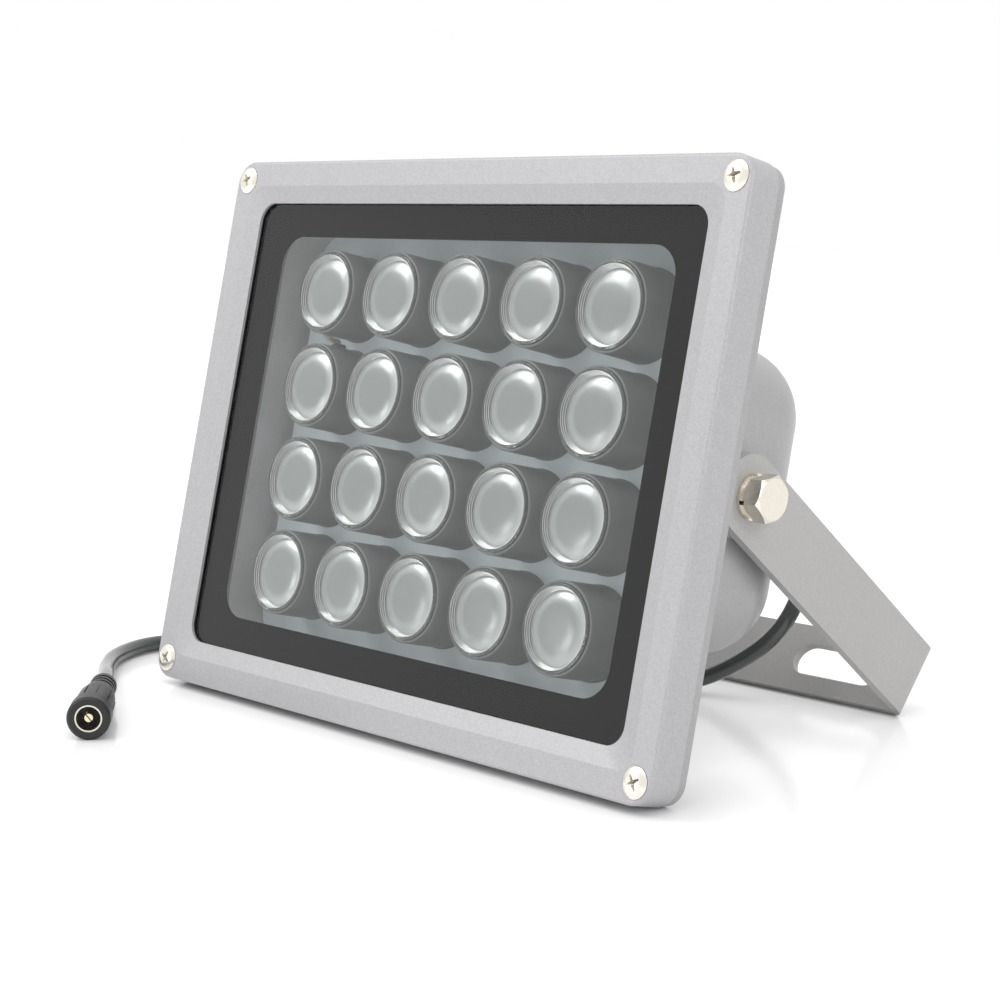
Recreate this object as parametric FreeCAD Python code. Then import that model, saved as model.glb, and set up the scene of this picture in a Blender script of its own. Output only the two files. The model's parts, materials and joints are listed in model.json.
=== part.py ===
import FreeCAD, Part
import math
import os

from FreeCAD import Placement, Rotation, Vector

# Infrared illuminator: a glazed die-cast lamp head with twenty lenses, leaning on its folded U bracket.
# Millimetres. The head is drawn about the middle of its front panel: x to the right, y up the panel,
# z out of the front. It is then leaned back and stood on the floor, Z up, with its front facing -Y.

# Front frame
PANEL_WIDTH = 180.0
PANEL_HEIGHT = 138.0
PANEL_CORNER = 6.0
FRAME_DEPTH = 8.6
FRAME_EDGE_ROUND = 0.7
FLAT_BAND = 6.5
OPENING_WIDTH = 157.6
OPENING_HEIGHT = 116.3
OPENING_CORNER = 5.0
LIP_DROP = 1.2
LIP_EDGE = 0.7
SEAM_STEP = 0.35

# Frame screws, raised countersunk
SCREW_SPACING_X = 170.6
SCREW_SPACING_Y = 128.0
SCREW_HEAD_R = 3.5
SCREW_HEAD_RISE = 0.9
SCREW_CONE_DEPTH = 1.8
SCREW_SHANK_R = 1.9
SCREW_LENGTH = 10.6
RECESS_WIDTH = 0.9
RECESS_SPAN = 3.8
RECESS_DEPTH = 1.5
SINK_CLEARANCE = 0.1
HOLE_CLEARANCE = 0.2

# Glass, its seals and its printed border
GLASS_THICK = 2.8
GLASS_LAP = 4.0
GLASS_CORNER = 6.0
GLASS_CLEARANCE = 0.3
LIP_SEAL_THICK = 0.4
PRINT_THICK = 0.1
WINDOW_WIDTH = 138.9
WINDOW_HEIGHT = 99.7
WINDOW_CORNER = 7.5
SEAL_THICK = 1.2
SEAL_WIDTH = 3.0

# Rear housing
FLANGE_THICK = 2.4
STEP_WIDTH = 151.0
STEP_HEIGHT = 113.0
STEP_BACK = 22.7
STEP_CORNER = 14.0
STEP_FILLET = 4.0
HOUSING_WALL = 2.5
BULGE_WIDTH = 133.3
BULGE_HEIGHT = 78.6
BULGE_DROP = 1.2
BULGE_DRAFT_X = 3.5
BULGE_DRAFT_Y = 3.5
BULGE_BACK = 68.6
BULGE_CORNER = 17.5
BULGE_ROUND = 16.5
RIB_OVERLAP = 0.5

# Emitter board, emitters, lenses and holders
BOARD_WIDTH = 141.0
BOARD_HEIGHT = 106.0
BOARD_CORNER = 6.0
BOARD_THICK = 1.6
LENS_COLUMNS = 5
LENS_ROWS = 4
LENS_PITCH_X = 25.26
LENS_PITCH_Y = 24.12
LENS_RIM_Z = -5.6
LENS_RIM_R = 10.16
LENS_RIM_WIDTH = 0.8
LENS_RIM_HEIGHT = 2.6
LENS_FACE_R = 8.9
LENS_FACE_DROP = 1.6
LENS_CROWN = 1.0
LENS_FOOT_R = 4.4
LENS_POCKET_R = 3.2
LENS_POCKET_DEPTH = 2.6
LENS_SEAT_GAP = 0.05
LENS_FOOT_GAP = 0.05
HOLDER_R = 10.9
HOLDER_FRONT_DROP = 0.5
HOLDER_BORE_R = 9.75
HOLDER_FOOT_R = 11.5
HOLDER_FOOT_THICK = 1.2
EMITTER_BASE_R = 2.9
EMITTER_BASE_THICK = 1.1
EMITTER_DOME_R = 1.4
BOARD_SCREW_INSET = 3.2
BOARD_SCREW_Y = 36.2
BOARD_SCREW_HEAD_R = 2.6
BOARD_SCREW_HEAD_THICK = 1.8
BOARD_SCREW_R = 1.4
BOARD_SCREW_BITE = 1.9
LEAD_HOLE_INSET = 5.8
LEAD_HOLE_Y = 24.1
LEAD_HOLE_R = 1.7
LEAD_R = 0.65
LEAD_SPREAD = 0.85
LEAD_DROP = 18.1
LEAD_RISE = 6.0
LEAD_BEND = 2.0
LEAD_ENTRY = 6.8
PLUS_PAD_X = -5.1
PLUS_PAD_Y = 3.7
MINUS_PAD_X = 3.1
MINUS_PAD_Y = -0.4

# Driver
DRIVER_WIDTH = 62.0
DRIVER_HEIGHT = 44.0
DRIVER_FRONT_Z = -50.0
DRIVER_CORNER = 1.5
DRIVER_SCREW_INSET_X = 4.0
DRIVER_SCREW_INSET_Y = 7.2
DRIVER_LEAD_INSET = 3.0
DRIVER_SCREW_BITE = 1.5
STANDOFF_ACROSS_FLATS = 5.5
COIL_INSET_X = 19.0
COIL_INSET_Y = 20.0
COIL_ROUND = 1.6
CAPACITOR_INSET_X = 13.0
CAPACITOR_INSET_Y = 12.0
CAPACITOR_PITCH = 10.0
CHIP_INSET_X = 17.0
CHIP_INSET_Y = 14.0
COIL_R = 7.0
COIL_BORE_R = 3.2
COIL_THICK = 6.0
CAPACITOR_R = 4.0
CAPACITOR_HEIGHT = 12.0
CHIP_WIDTH = 6.0
CHIP_LENGTH = 8.0
CHIP_HEIGHT = 1.7

# Bracket and its pivot
PIVOT_Z = -40.0
BRACKET_REACH = 3.35
STRIP_WIDTH = 19.0
STRIP_THICK = 2.5
ARM_LENGTH = 83.5
ARM_END_REACH = 9.6
ARM_END_CORNER = 9.0
FOLD_RADIUS = 3.0
FOLD_INNER_RADIUS = 0.5
SLOT_SPACING = 91.4
SLOT_LENGTH = 28.0
SLOT_WIDTH = 9.0
BRACKET_DROP = 26.35
PIVOT_BOLT_R = 2.95
PIVOT_HOLE_CLEARANCE = 0.3
PIVOT_GAP = 0.05
BOLT_ACROSS_FLATS = 10.0
BOLT_HEAD_THICK = 4.0
BOLT_CHAMFER = 0.7
BOLT_FACE_R = 4.75
BOLT_TURN = 21.0
BOLT_BITE = 10.0
BORE_SPARE = 1.5
SPRING_WASHER_R = 4.8
SPRING_WASHER_THICK = 1.6
SPRING_WASHER_SLIT = 1.0
SPRING_WASHER_SLIT_TURN = 203.0
FLAT_WASHER_R = 5.4
FLAT_WASHER_THICK = 0.8
PAD_R = 10.0
PAD_BOSS_LENGTH = 9.0

# Cable gland
GLAND_Y = -12.0
GLAND_THREAD_R = 6.0
GLAND_ACROSS_FLATS = 14.0
GLAND_FLANGE_THICK = 4.0
GLAND_NUT_THICK = 3.0
GLAND_CAP_GAP = 0.3
GLAND_CAP_LENGTH = 12.5
GLAND_CAP_STRAIGHT = 5.0
GLAND_CAP_SHOULDER = 7.75
GLAND_SHOULDER_R = 7.5
GLAND_NOSE_R = 4.6
GLAND_NECK_R = 5.2
GLAND_NECK_LENGTH = 6.9
GLAND_SEAL_R = 4.0
GLAND_SEAL_SEAT = 2.0
CORD_TAIL_LENGTH = 3.0

# Cord and its inline socket
CORD_R = 2.1
CORD_CLEARANCE = 0.1
CORD_LEAD_OUT = 13.0
CORD_BOOT_RUN = 10.0
FLOOR_CLEARANCE = 0.1
JACK_R = 5.2
JACK_FACE_X = -46.2
JACK_FACE_Y = -110.3
JACK_HEADING = -38.3
JACK_COLLAR_LENGTH = 6.0
JACK_GRIP_LENGTH = 12.0
JACK_SHOULDER_LENGTH = 6.0
JACK_BOOT_LENGTH = 11.0
JACK_GRIP_R = 4.9
JACK_GRIP_BACK_R = 4.6
JACK_SHOULDER_R = 3.9
JACK_BOOT_R = 3.35
JACK_GROOVES = 10
JACK_GROOVE_WIDTH = 0.5
JACK_GROOVE_DEPTH = 0.45
JACK_RINGS = 3
JACK_RING_GAP = 1.3
JACK_RING_DEPTH = 0.7
SLEEVE_R = 3.25
SLEEVE_WALL = 0.35
SLEEVE_DEPTH = 11.0
CORE_R = 2.9
SOCKET_DEPTH = 9.0
PIN_R = 1.0
PIN_RECESS = 0.8
PIN_SPLIT = 0.3
PIN_SPLIT_DEPTH = 3.0
JACK_FIT = 0.05
JACK_EDGE = 0.5
JACK_NECK_STEP = 0.3
JACK_GRIP_GAP = 0.6

# Places worked out from the sizes above
FRAME_HALF_X = PANEL_WIDTH / 2
FRAME_HALF_Y = PANEL_HEIGHT / 2
FRAME_BACK_Z = -FRAME_DEPTH
FLANGE_BACK_Z = FRAME_BACK_Z - FLANGE_THICK
LIP_BACK_Z = -LIP_DROP - LIP_EDGE
GLASS_FRONT_Z = LIP_BACK_Z - LIP_SEAL_THICK
GLASS_BACK_Z = GLASS_FRONT_Z - GLASS_THICK
PRINT_BACK_Z = GLASS_BACK_Z - PRINT_THICK
SEAL_BACK_Z = PRINT_BACK_Z - SEAL_THICK
GLASS_HALF_X = OPENING_WIDTH / 2 + GLASS_LAP
GLASS_HALF_Y = OPENING_HEIGHT / 2 + GLASS_LAP
BOARD_BACK_Z = -STEP_BACK + HOUSING_WALL
BOARD_FRONT_Z = BOARD_BACK_Z + BOARD_THICK
BULGE_INNER_BACK_Z = -BULGE_BACK + HOUSING_WALL
DRIVER_BACK_Z = DRIVER_FRONT_Z - BOARD_THICK
GLAND_FLANGE_Z = -BULGE_BACK - GLAND_FLANGE_THICK
GLAND_CAP_Z = GLAND_FLANGE_Z - GLAND_CAP_GAP
GLAND_TIP_Z = GLAND_CAP_Z - GLAND_CAP_LENGTH
BOARD_SCREW_X = BOARD_WIDTH / 2 - BOARD_SCREW_INSET
LEAD_HOLE_X = HOUSING_WALL + LEAD_HOLE_INSET - BULGE_WIDTH / 2
STANDOFF_X = DRIVER_WIDTH / 2 - DRIVER_SCREW_INSET_X
STANDOFF_Y = DRIVER_HEIGHT / 2 - DRIVER_SCREW_INSET_Y
STANDOFF_LENGTH = DRIVER_BACK_Z - BULGE_INNER_BACK_Z
ARM_OUTER_X = BULGE_WIDTH / 2 + BRACKET_REACH
BRACKET_WIDTH = 2 * ARM_OUTER_X
ARM_INNER_X = ARM_OUTER_X - STRIP_THICK
PAD_FACE_X = ARM_INNER_X - PIVOT_GAP
JACK_LENGTH = JACK_COLLAR_LENGTH + JACK_GRIP_LENGTH + JACK_SHOULDER_LENGTH + JACK_BOOT_LENGTH

PIECES = {}


def keep(name, shape):
    """Files a finished piece under its node name."""
    PIECES[name] = shape
    return shape


def rounded_wire(half_x, half_y, corner, z=0.0):
    """Rectangle with round corners, flat at height z."""
    along_x, along_y = half_x - corner, half_y - corner
    diagonal = corner * math.sqrt(0.5)
    edges = []
    for sign_x, sign_y in ((1, 1), (-1, 1), (-1, -1), (1, -1)):
        on_side = Vector(sign_x * half_x, sign_y * along_y, z)
        on_top = Vector(sign_x * along_x, sign_y * half_y, z)
        middle = Vector(sign_x * (along_x + diagonal), sign_y * (along_y + diagonal), z)
        start, end = (on_side, on_top) if sign_x * sign_y > 0 else (on_top, on_side)
        if edges:
            edges.append(Part.LineSegment(edges[-1].Vertexes[-1].Point, start).toShape())
        edges.append(Part.Arc(start, middle, end).toShape())
    edges.append(Part.LineSegment(edges[-1].Vertexes[-1].Point, edges[0].Vertexes[0].Point).toShape())
    return Part.Wire(edges)


def rounded_block(half_x, half_y, corner, z_low, z_high):
    """Straight block with round upright corners."""
    return Part.Face(rounded_wire(half_x, half_y, corner, z_low)).extrude(Vector(0, 0, z_high - z_low))


def rounded_ring(outer, inner, z_low, z_high):
    """Ring between two rounded rectangles, each given as half width, half height and corner radius."""
    return rounded_block(*outer, z_low, z_high).cut(rounded_block(*inner, z_low, z_high))


def disc(radius, z_low, z_high, x=0.0, y=0.0):
    """Upright cylinder between two heights."""
    return Part.makeCylinder(radius, z_high - z_low, Vector(x, y, z_low))


def box_between(low, high):
    """Box between two corners."""
    return Part.makeBox(high[0] - low[0], high[1] - low[1], high[2] - low[2], Vector(*low))


def lathe(profile):
    """Solid of revolution about Z. A profile entry is (r, z), or (r, z, r, z) for an arc's middle and end."""
    points = [Vector(entry[-2], 0, entry[-1]) for entry in profile]
    edges = []
    for index, entry in enumerate(profile):
        start, end = points[index - 1], points[index]
        if len(entry) == 4:
            edges.append(Part.Arc(start, Vector(entry[0], 0, entry[1]), end).toShape())
        elif start.distanceToPoint(end) > 1e-9:
            edges.append(Part.LineSegment(start, end).toShape())
    return Part.Face(Part.Wire(edges)).revolve(Vector(0, 0, 0), Vector(0, 0, 1), 360)


def crown(radius, low, rise):
    """Arc entry of a profile for a round crown centred on the axis, from its edge up to its top."""
    ball = (radius ** 2 + rise ** 2) / (2 * rise)
    middle = radius / 2
    return middle, low + rise - ball + math.sqrt(ball ** 2 - middle ** 2), 0, low + rise


def hexagon(across_flats, z_low, z_high):
    """Hexagonal prism about Z, a corner pointing along x."""
    radius = across_flats / math.sqrt(3)
    corners = [Vector(radius * math.cos(k * math.pi / 3), radius * math.sin(k * math.pi / 3), z_low) for k in range(7)]
    return Part.Face(Part.makePolygon(corners)).extrude(Vector(0, 0, z_high - z_low))


def at(shape, x, y, z=0.0):
    """Copy of a shape moved to a place."""
    copy = shape.copy()
    copy.translate(Vector(x, y, z))
    return copy


def corners(half_x, half_y):
    """The four corner places of a rectangle."""
    return [(sign_x * half_x, sign_y * half_y) for sign_x in (-1, 1) for sign_y in (-1, 1)]


# Front frame, glass and seals

def countersink():
    """Seat of one frame screw, cut into the frame."""
    mouth, throat = SCREW_HEAD_R + SINK_CLEARANCE, SCREW_SHANK_R + HOLE_CLEARANCE
    return lathe([(0, 1), (0, FLANGE_BACK_Z), (throat, FLANGE_BACK_Z), (throat, -SCREW_CONE_DEPTH), (mouth, 0),
                  (mouth, 1)])


def front_frame():
    """Cast frame: flat band, slope down to the lip, pocket for the glass and four screw seats."""
    body = rounded_block(FRAME_HALF_X, FRAME_HALF_Y, PANEL_CORNER, FRAME_BACK_Z, 0)
    front_edges = [edge for edge in body.Edges if edge.BoundBox.ZMin > -0.01]
    body = body.makeFillet(FRAME_EDGE_ROUND, front_edges)
    band_inner = rounded_wire(FRAME_HALF_X - FLAT_BAND, FRAME_HALF_Y - FLAT_BAND, OPENING_CORNER, 0)
    lip = rounded_wire(OPENING_WIDTH / 2, OPENING_HEIGHT / 2, OPENING_CORNER, -LIP_DROP)
    body = body.cut(Part.makeLoft([band_inner, lip], True, True))
    body = body.cut(rounded_block(OPENING_WIDTH / 2, OPENING_HEIGHT / 2, OPENING_CORNER, FRAME_BACK_Z, -LIP_DROP))
    pocket = (GLASS_HALF_X + GLASS_CLEARANCE, GLASS_HALF_Y + GLASS_CLEARANCE, GLASS_CORNER + GLASS_CLEARANCE)
    body = body.cut(rounded_block(*pocket, FRAME_BACK_Z, LIP_BACK_Z))
    for x, y in corners(SCREW_SPACING_X / 2, SCREW_SPACING_Y / 2):
        body = body.cut(at(countersink(), x, y))
    return keep("front_frame", body)


def frame_screws():
    """Four raised countersunk screws with a cross recess."""
    head = lathe([(0, SCREW_HEAD_RISE), (0, -SCREW_LENGTH), (SCREW_SHANK_R, -SCREW_LENGTH),
                  (SCREW_SHANK_R, -SCREW_CONE_DEPTH), (SCREW_HEAD_R, 0), crown(SCREW_HEAD_R, 0, SCREW_HEAD_RISE)])
    half, arm = RECESS_WIDTH / 2, RECESS_SPAN / 2
    low, high = SCREW_HEAD_RISE - RECESS_DEPTH, SCREW_HEAD_RISE + 1
    cross = box_between((-arm, -half, low), (arm, half, high)).fuse(box_between((-half, -arm, low), (half, arm, high)))
    screw = head.cut(cross)
    places = corners(SCREW_SPACING_X / 2, SCREW_SPACING_Y / 2)
    return keep("frame_screws", Part.makeCompound([at(screw, x, y) for x, y in places]))


def glazing():
    """Glass, the seal under the lip, the printed border behind the glass and the seal on the housing's rim."""
    glass = (GLASS_HALF_X, GLASS_HALF_Y, GLASS_CORNER)
    opening = (OPENING_WIDTH / 2, OPENING_HEIGHT / 2, OPENING_CORNER)
    window = (WINDOW_WIDTH / 2, WINDOW_HEIGHT / 2, WINDOW_CORNER)
    seal_inner = (GLASS_HALF_X - SEAL_WIDTH, GLASS_HALF_Y - SEAL_WIDTH, GLASS_CORNER - SEAL_WIDTH)
    keep("front_glass", rounded_block(*glass, GLASS_BACK_Z, GLASS_FRONT_Z))
    keep("glass_seal", rounded_ring(glass, opening, GLASS_FRONT_Z, LIP_BACK_Z))
    keep("border_print", rounded_ring(glass, window, PRINT_BACK_Z, GLASS_BACK_Z))
    keep("housing_seal", rounded_ring(glass, seal_inner, SEAL_BACK_Z, PRINT_BACK_Z))


# Rear housing

def bulge(inset, z_front, z_back):
    """The housing's smooth rear body, drafted towards the back and well rounded, drawn in by the inset."""
    front = rounded_wire(BULGE_WIDTH / 2 - inset, BULGE_HEIGHT / 2 - inset, BULGE_CORNER - inset, z_front)
    back_x = BULGE_WIDTH / 2 - BULGE_DRAFT_X - inset
    back_y = BULGE_HEIGHT / 2 - BULGE_DRAFT_Y - inset
    back = rounded_wire(back_x, back_y, BULGE_CORNER - inset, z_back)
    body = Part.makeLoft([front, back], True, True)
    back_edges = [edge for edge in body.Edges if edge.BoundBox.ZMax < z_back + 0.01]
    return at(body.makeFillet(BULGE_ROUND - inset, back_edges), 0, -BULGE_DROP)


def pivot_pad(side):
    """Turned pad under one bracket arm, with the boss inside that holds the pivot bolt's thread."""
    length = PAD_BOSS_LENGTH + HOUSING_WALL
    return Part.makeCylinder(PAD_R, length, Vector(side * PAD_FACE_X, 0, PIVOT_Z), Vector(-side, 0, 0))


def pivot_bore(side):
    """Threaded hole for one pivot bolt."""
    start = Vector(side * (PAD_FACE_X + 1), 0, PIVOT_Z)
    return Part.makeCylinder(PIVOT_BOLT_R, BOLT_BITE + BORE_SPARE, start, Vector(-side, 0, 0))


def rear_housing():
    """Cast housing: flange with seal rim, board ledge, rounded rear body, pivot pads and screw holes."""
    flange = (FRAME_HALF_X - SEAM_STEP, FRAME_HALF_Y - SEAM_STEP, PANEL_CORNER - SEAM_STEP)
    step = (STEP_WIDTH / 2, STEP_HEIGHT / 2, STEP_CORNER)
    cavity = tuple(size - HOUSING_WALL for size in step)
    base = rounded_block(*step, -STEP_BACK, FLANGE_BACK_Z + RIB_OVERLAP)
    back_edges = [edge for edge in base.Edges if edge.BoundBox.ZMax < -STEP_BACK + 0.01]
    base = base.makeFillet(STEP_FILLET, back_edges)
    body = rounded_block(*flange, FLANGE_BACK_Z, FRAME_BACK_Z).fuse(base)
    body = body.fuse(bulge(0, BOARD_BACK_Z, -BULGE_BACK))
    for side in (-1, 1):
        body = body.fuse(pivot_pad(side))
    inside = bulge(HOUSING_WALL, FRAME_BACK_Z + 1, BULGE_INNER_BACK_Z)
    for side in (-1, 1):
        boss = Part.makeCylinder(PAD_R - HOUSING_WALL, PAD_BOSS_LENGTH + HOUSING_WALL,
                                 Vector(side * PAD_FACE_X, 0, PIVOT_Z), Vector(-side, 0, 0))
        inside = inside.cut(boss)
    body = body.cut(inside)
    body = body.cut(rounded_block(*cavity, BOARD_BACK_Z, FRAME_BACK_Z + 1))
    glass = (GLASS_HALF_X, GLASS_HALF_Y, GLASS_CORNER)
    rim_inner = (GLASS_HALF_X - SEAL_WIDTH, GLASS_HALF_Y - SEAL_WIDTH, GLASS_CORNER - SEAL_WIDTH)
    body = body.fuse(rounded_ring(glass, rim_inner, FRAME_BACK_Z, SEAL_BACK_Z))
    for side in (-1, 1):
        body = body.cut(pivot_bore(side))
    for x, y in corners(STANDOFF_X, STANDOFF_Y):
        body = body.cut(disc(BOARD_SCREW_R, BULGE_INNER_BACK_Z - DRIVER_SCREW_BITE, BULGE_INNER_BACK_Z, x, y))
    for x, y in corners(BOARD_SCREW_X, BOARD_SCREW_Y):
        body = body.cut(disc(BOARD_SCREW_R, BOARD_BACK_Z - BOARD_SCREW_BITE, BOARD_BACK_Z, x, y))
    for x, y in corners(SCREW_SPACING_X / 2, SCREW_SPACING_Y / 2):
        body = body.cut(disc(SCREW_SHANK_R, FLANGE_BACK_Z - 1, FRAME_BACK_Z, x, y))
    body = body.cut(disc(GLAND_THREAD_R, -BULGE_BACK - 1, BULGE_INNER_BACK_Z + 1, 0, GLAND_Y))
    return keep("rear_housing", body)


# Emitter board and optics

def lens_places():
    """Lens centres by row from the top and column from the left."""
    for row in range(LENS_ROWS):
        for column in range(LENS_COLUMNS):
            x = (column - (LENS_COLUMNS - 1) / 2) * LENS_PITCH_X
            y = ((LENS_ROWS - 1) / 2 - row) * LENS_PITCH_Y
            yield row + 1, column + 1, x, y


def led_board():
    """Emitter board with its screw holes and the hole for the leads."""
    board = rounded_block(BOARD_WIDTH / 2, BOARD_HEIGHT / 2, BOARD_CORNER, BOARD_BACK_Z, BOARD_FRONT_Z)
    for x, y in corners(BOARD_SCREW_X, BOARD_SCREW_Y):
        board = board.cut(disc(BOARD_SCREW_R + HOLE_CLEARANCE, BOARD_BACK_Z, BOARD_FRONT_Z, x, y))
    board = board.cut(disc(LEAD_HOLE_R, BOARD_BACK_Z, BOARD_FRONT_Z, LEAD_HOLE_X, LEAD_HOLE_Y))
    return keep("led_board", board)


def pan_screw(seat_z, shank_length):
    """Small pan head screw standing on a seat."""
    head_top = seat_z + BOARD_SCREW_HEAD_THICK
    half_head = BOARD_SCREW_HEAD_THICK / 2
    return lathe([(0, head_top), (0, seat_z - shank_length), (BOARD_SCREW_R, seat_z - shank_length),
                  (BOARD_SCREW_R, seat_z), (BOARD_SCREW_HEAD_R, seat_z), (BOARD_SCREW_HEAD_R, seat_z + half_head),
                  (BOARD_SCREW_HEAD_R * 0.8, head_top - half_head * 0.3, BOARD_SCREW_HEAD_R * 0.5, head_top)])


def board_screws():
    """Screws of the emitter board."""
    screw = pan_screw(BOARD_FRONT_Z, BOARD_THICK + BOARD_SCREW_BITE)
    places = corners(BOARD_SCREW_X, BOARD_SCREW_Y)
    return keep("board_screws", Part.makeCompound([at(screw, x, y) for x, y in places]))


def emitters():
    """Twenty emitters: a base on the board and a small dome in the lens's pocket."""
    top = BOARD_FRONT_Z + EMITTER_BASE_THICK
    one = lathe([(0, top + EMITTER_DOME_R), (0, BOARD_FRONT_Z), (EMITTER_BASE_R, BOARD_FRONT_Z), (EMITTER_BASE_R, top),
                 (EMITTER_DOME_R, top), crown(EMITTER_DOME_R, top, EMITTER_DOME_R)])
    return keep("led_emitters", Part.makeCompound([at(one, x, y) for row, column, x, y in lens_places()]))


def lens():
    """One clear lens: proud rim, sunk crowned face, cone narrowing to a foot with the emitter's pocket."""
    rim = LENS_RIM_Z
    face = rim - LENS_FACE_DROP
    seat = rim - LENS_RIM_HEIGHT
    foot = BOARD_FRONT_Z + EMITTER_BASE_THICK + LENS_FOOT_GAP
    pocket_top = foot + LENS_POCKET_DEPTH
    rim_inner = LENS_RIM_R - LENS_RIM_WIDTH
    cone_r = HOLDER_BORE_R - HOLE_CLEARANCE
    return lathe([(0, face + LENS_CROWN), (0, pocket_top), (LENS_POCKET_R, pocket_top), (LENS_POCKET_R, foot),
                  (LENS_FOOT_R, foot), (cone_r, seat), (LENS_RIM_R, seat), (LENS_RIM_R, rim), (rim_inner, rim),
                  (rim_inner, face), (LENS_FACE_R, face), crown(LENS_FACE_R, face, LENS_CROWN)])


def lens_holder():
    """One dark holder: tube on a wider foot, with a stepped seat for the lens's rim."""
    front = LENS_RIM_Z - HOLDER_FRONT_DROP
    seat = LENS_RIM_Z - LENS_RIM_HEIGHT
    foot_top = BOARD_FRONT_Z + HOLDER_FOOT_THICK
    seat_r = LENS_RIM_R + LENS_SEAT_GAP
    return lathe([(HOLDER_BORE_R, BOARD_FRONT_Z), (HOLDER_FOOT_R, BOARD_FRONT_Z), (HOLDER_FOOT_R, foot_top),
                  (HOLDER_R, foot_top), (HOLDER_R, front), (seat_r, front), (seat_r, seat), (HOLDER_BORE_R, seat),
                  (HOLDER_BORE_R, BOARD_FRONT_Z)])


def optics():
    """Twenty lenses, each its own piece, and the holders of each row."""
    one_lens, one_holder = lens(), lens_holder()
    rows = {row: [] for row in range(1, LENS_ROWS + 1)}
    for row, column, x, y in lens_places():
        keep(f"lens_{row}_{column}", at(one_lens, x, y))
        rows[row].append(at(one_holder, x, y))
    for row, holders in rows.items():
        keep(f"lens_holders_row_{row}", Part.makeCompound(holders))


# Driver and leads

def driver_parts():
    """Coil, capacitors and control chip, placed from the driver board's edges."""
    right, top = DRIVER_WIDTH / 2, DRIVER_HEIGHT / 2
    coil_x, coil_y = COIL_INSET_X - right, top - COIL_INSET_Y
    coil_top = DRIVER_FRONT_Z + COIL_THICK
    coil = disc(COIL_R, DRIVER_FRONT_Z, coil_top, coil_x, coil_y)
    coil = coil.cut(disc(COIL_BORE_R, DRIVER_FRONT_Z, coil_top, coil_x, coil_y))
    rims = [edge for edge in coil.Edges if edge.BoundBox.ZLength < 0.01]
    keep("driver_coil", coil.makeFillet(COIL_ROUND, rims))
    capacitor_x, capacitor_y = right - CAPACITOR_INSET_X, top - CAPACITOR_INSET_Y
    capacitor = disc(CAPACITOR_R, DRIVER_FRONT_Z, DRIVER_FRONT_Z + CAPACITOR_HEIGHT, capacitor_x, capacitor_y)
    keep("driver_capacitors", Part.makeCompound([capacitor, at(capacitor, -CAPACITOR_PITCH, 0)]))
    chip_x, chip_y = right - CHIP_INSET_X, CHIP_INSET_Y - top
    chip_low = (chip_x - CHIP_LENGTH, chip_y, DRIVER_FRONT_Z)
    keep("driver_chip", box_between(chip_low, (chip_x, chip_y + CHIP_WIDTH, DRIVER_FRONT_Z + CHIP_HEIGHT)))


def driver():
    """Driver board on four hexagon spacers, with its parts and its long screws."""
    half_x, half_y = DRIVER_WIDTH / 2, DRIVER_HEIGHT / 2
    board = rounded_block(half_x, half_y, DRIVER_CORNER, DRIVER_BACK_Z, DRIVER_FRONT_Z)
    hole = disc(BOARD_SCREW_R + HOLE_CLEARANCE, BULGE_INNER_BACK_Z, DRIVER_FRONT_Z)
    spacer = hexagon(STANDOFF_ACROSS_FLATS, BULGE_INNER_BACK_Z, DRIVER_BACK_Z).cut(hole)
    screw = pan_screw(DRIVER_FRONT_Z, BOARD_THICK + STANDOFF_LENGTH + DRIVER_SCREW_BITE)
    places = corners(STANDOFF_X, STANDOFF_Y)
    for x, y in places:
        board = board.cut(at(hole, x, y))
    keep("driver_board", board)
    keep("driver_spacers", Part.makeCompound([at(spacer, x, y) for x, y in places]))
    keep("driver_screws", Part.makeCompound([at(screw, x, y) for x, y in places]))
    driver_parts()


def tangent_path(points, share=0.45):
    """Wire of straight runs joined by tangent arcs, with its length and its radii."""
    edges, radii = [], []
    last = points[0]
    for before, corner, after in zip(points, points[1:], points[2:]):
        back, ahead = before.sub(corner), after.sub(corner)
        turn = math.pi - back.getAngle(ahead)
        setback = share * min(back.Length, ahead.Length)
        radius = setback / math.tan(turn / 2)
        start = corner.add(Vector(back).normalize().multiply(setback))
        end = corner.add(Vector(ahead).normalize().multiply(setback))
        bisector = Vector(back).normalize().add(Vector(ahead).normalize()).normalize()
        middle = corner.add(bisector.multiply(radius / math.cos(turn / 2) - radius))
        edges.append(Part.LineSegment(last, start).toShape())
        edges.append(Part.Arc(start, middle, end).toShape())
        radii.append(radius)
        last = end
    edges.append(Part.LineSegment(last, points[-1]).toShape())
    wire = Part.Wire(edges)
    return wire, wire.Length, radii


def tube(points, radius):
    """Round solid along a route."""
    wire, length, radii = tangent_path(points)
    section = Part.Wire(Part.makeCircle(radius, points[0], points[1].sub(points[0])))
    body = wire.makePipeShell([section], True, False)
    return body, length, radii


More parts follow.
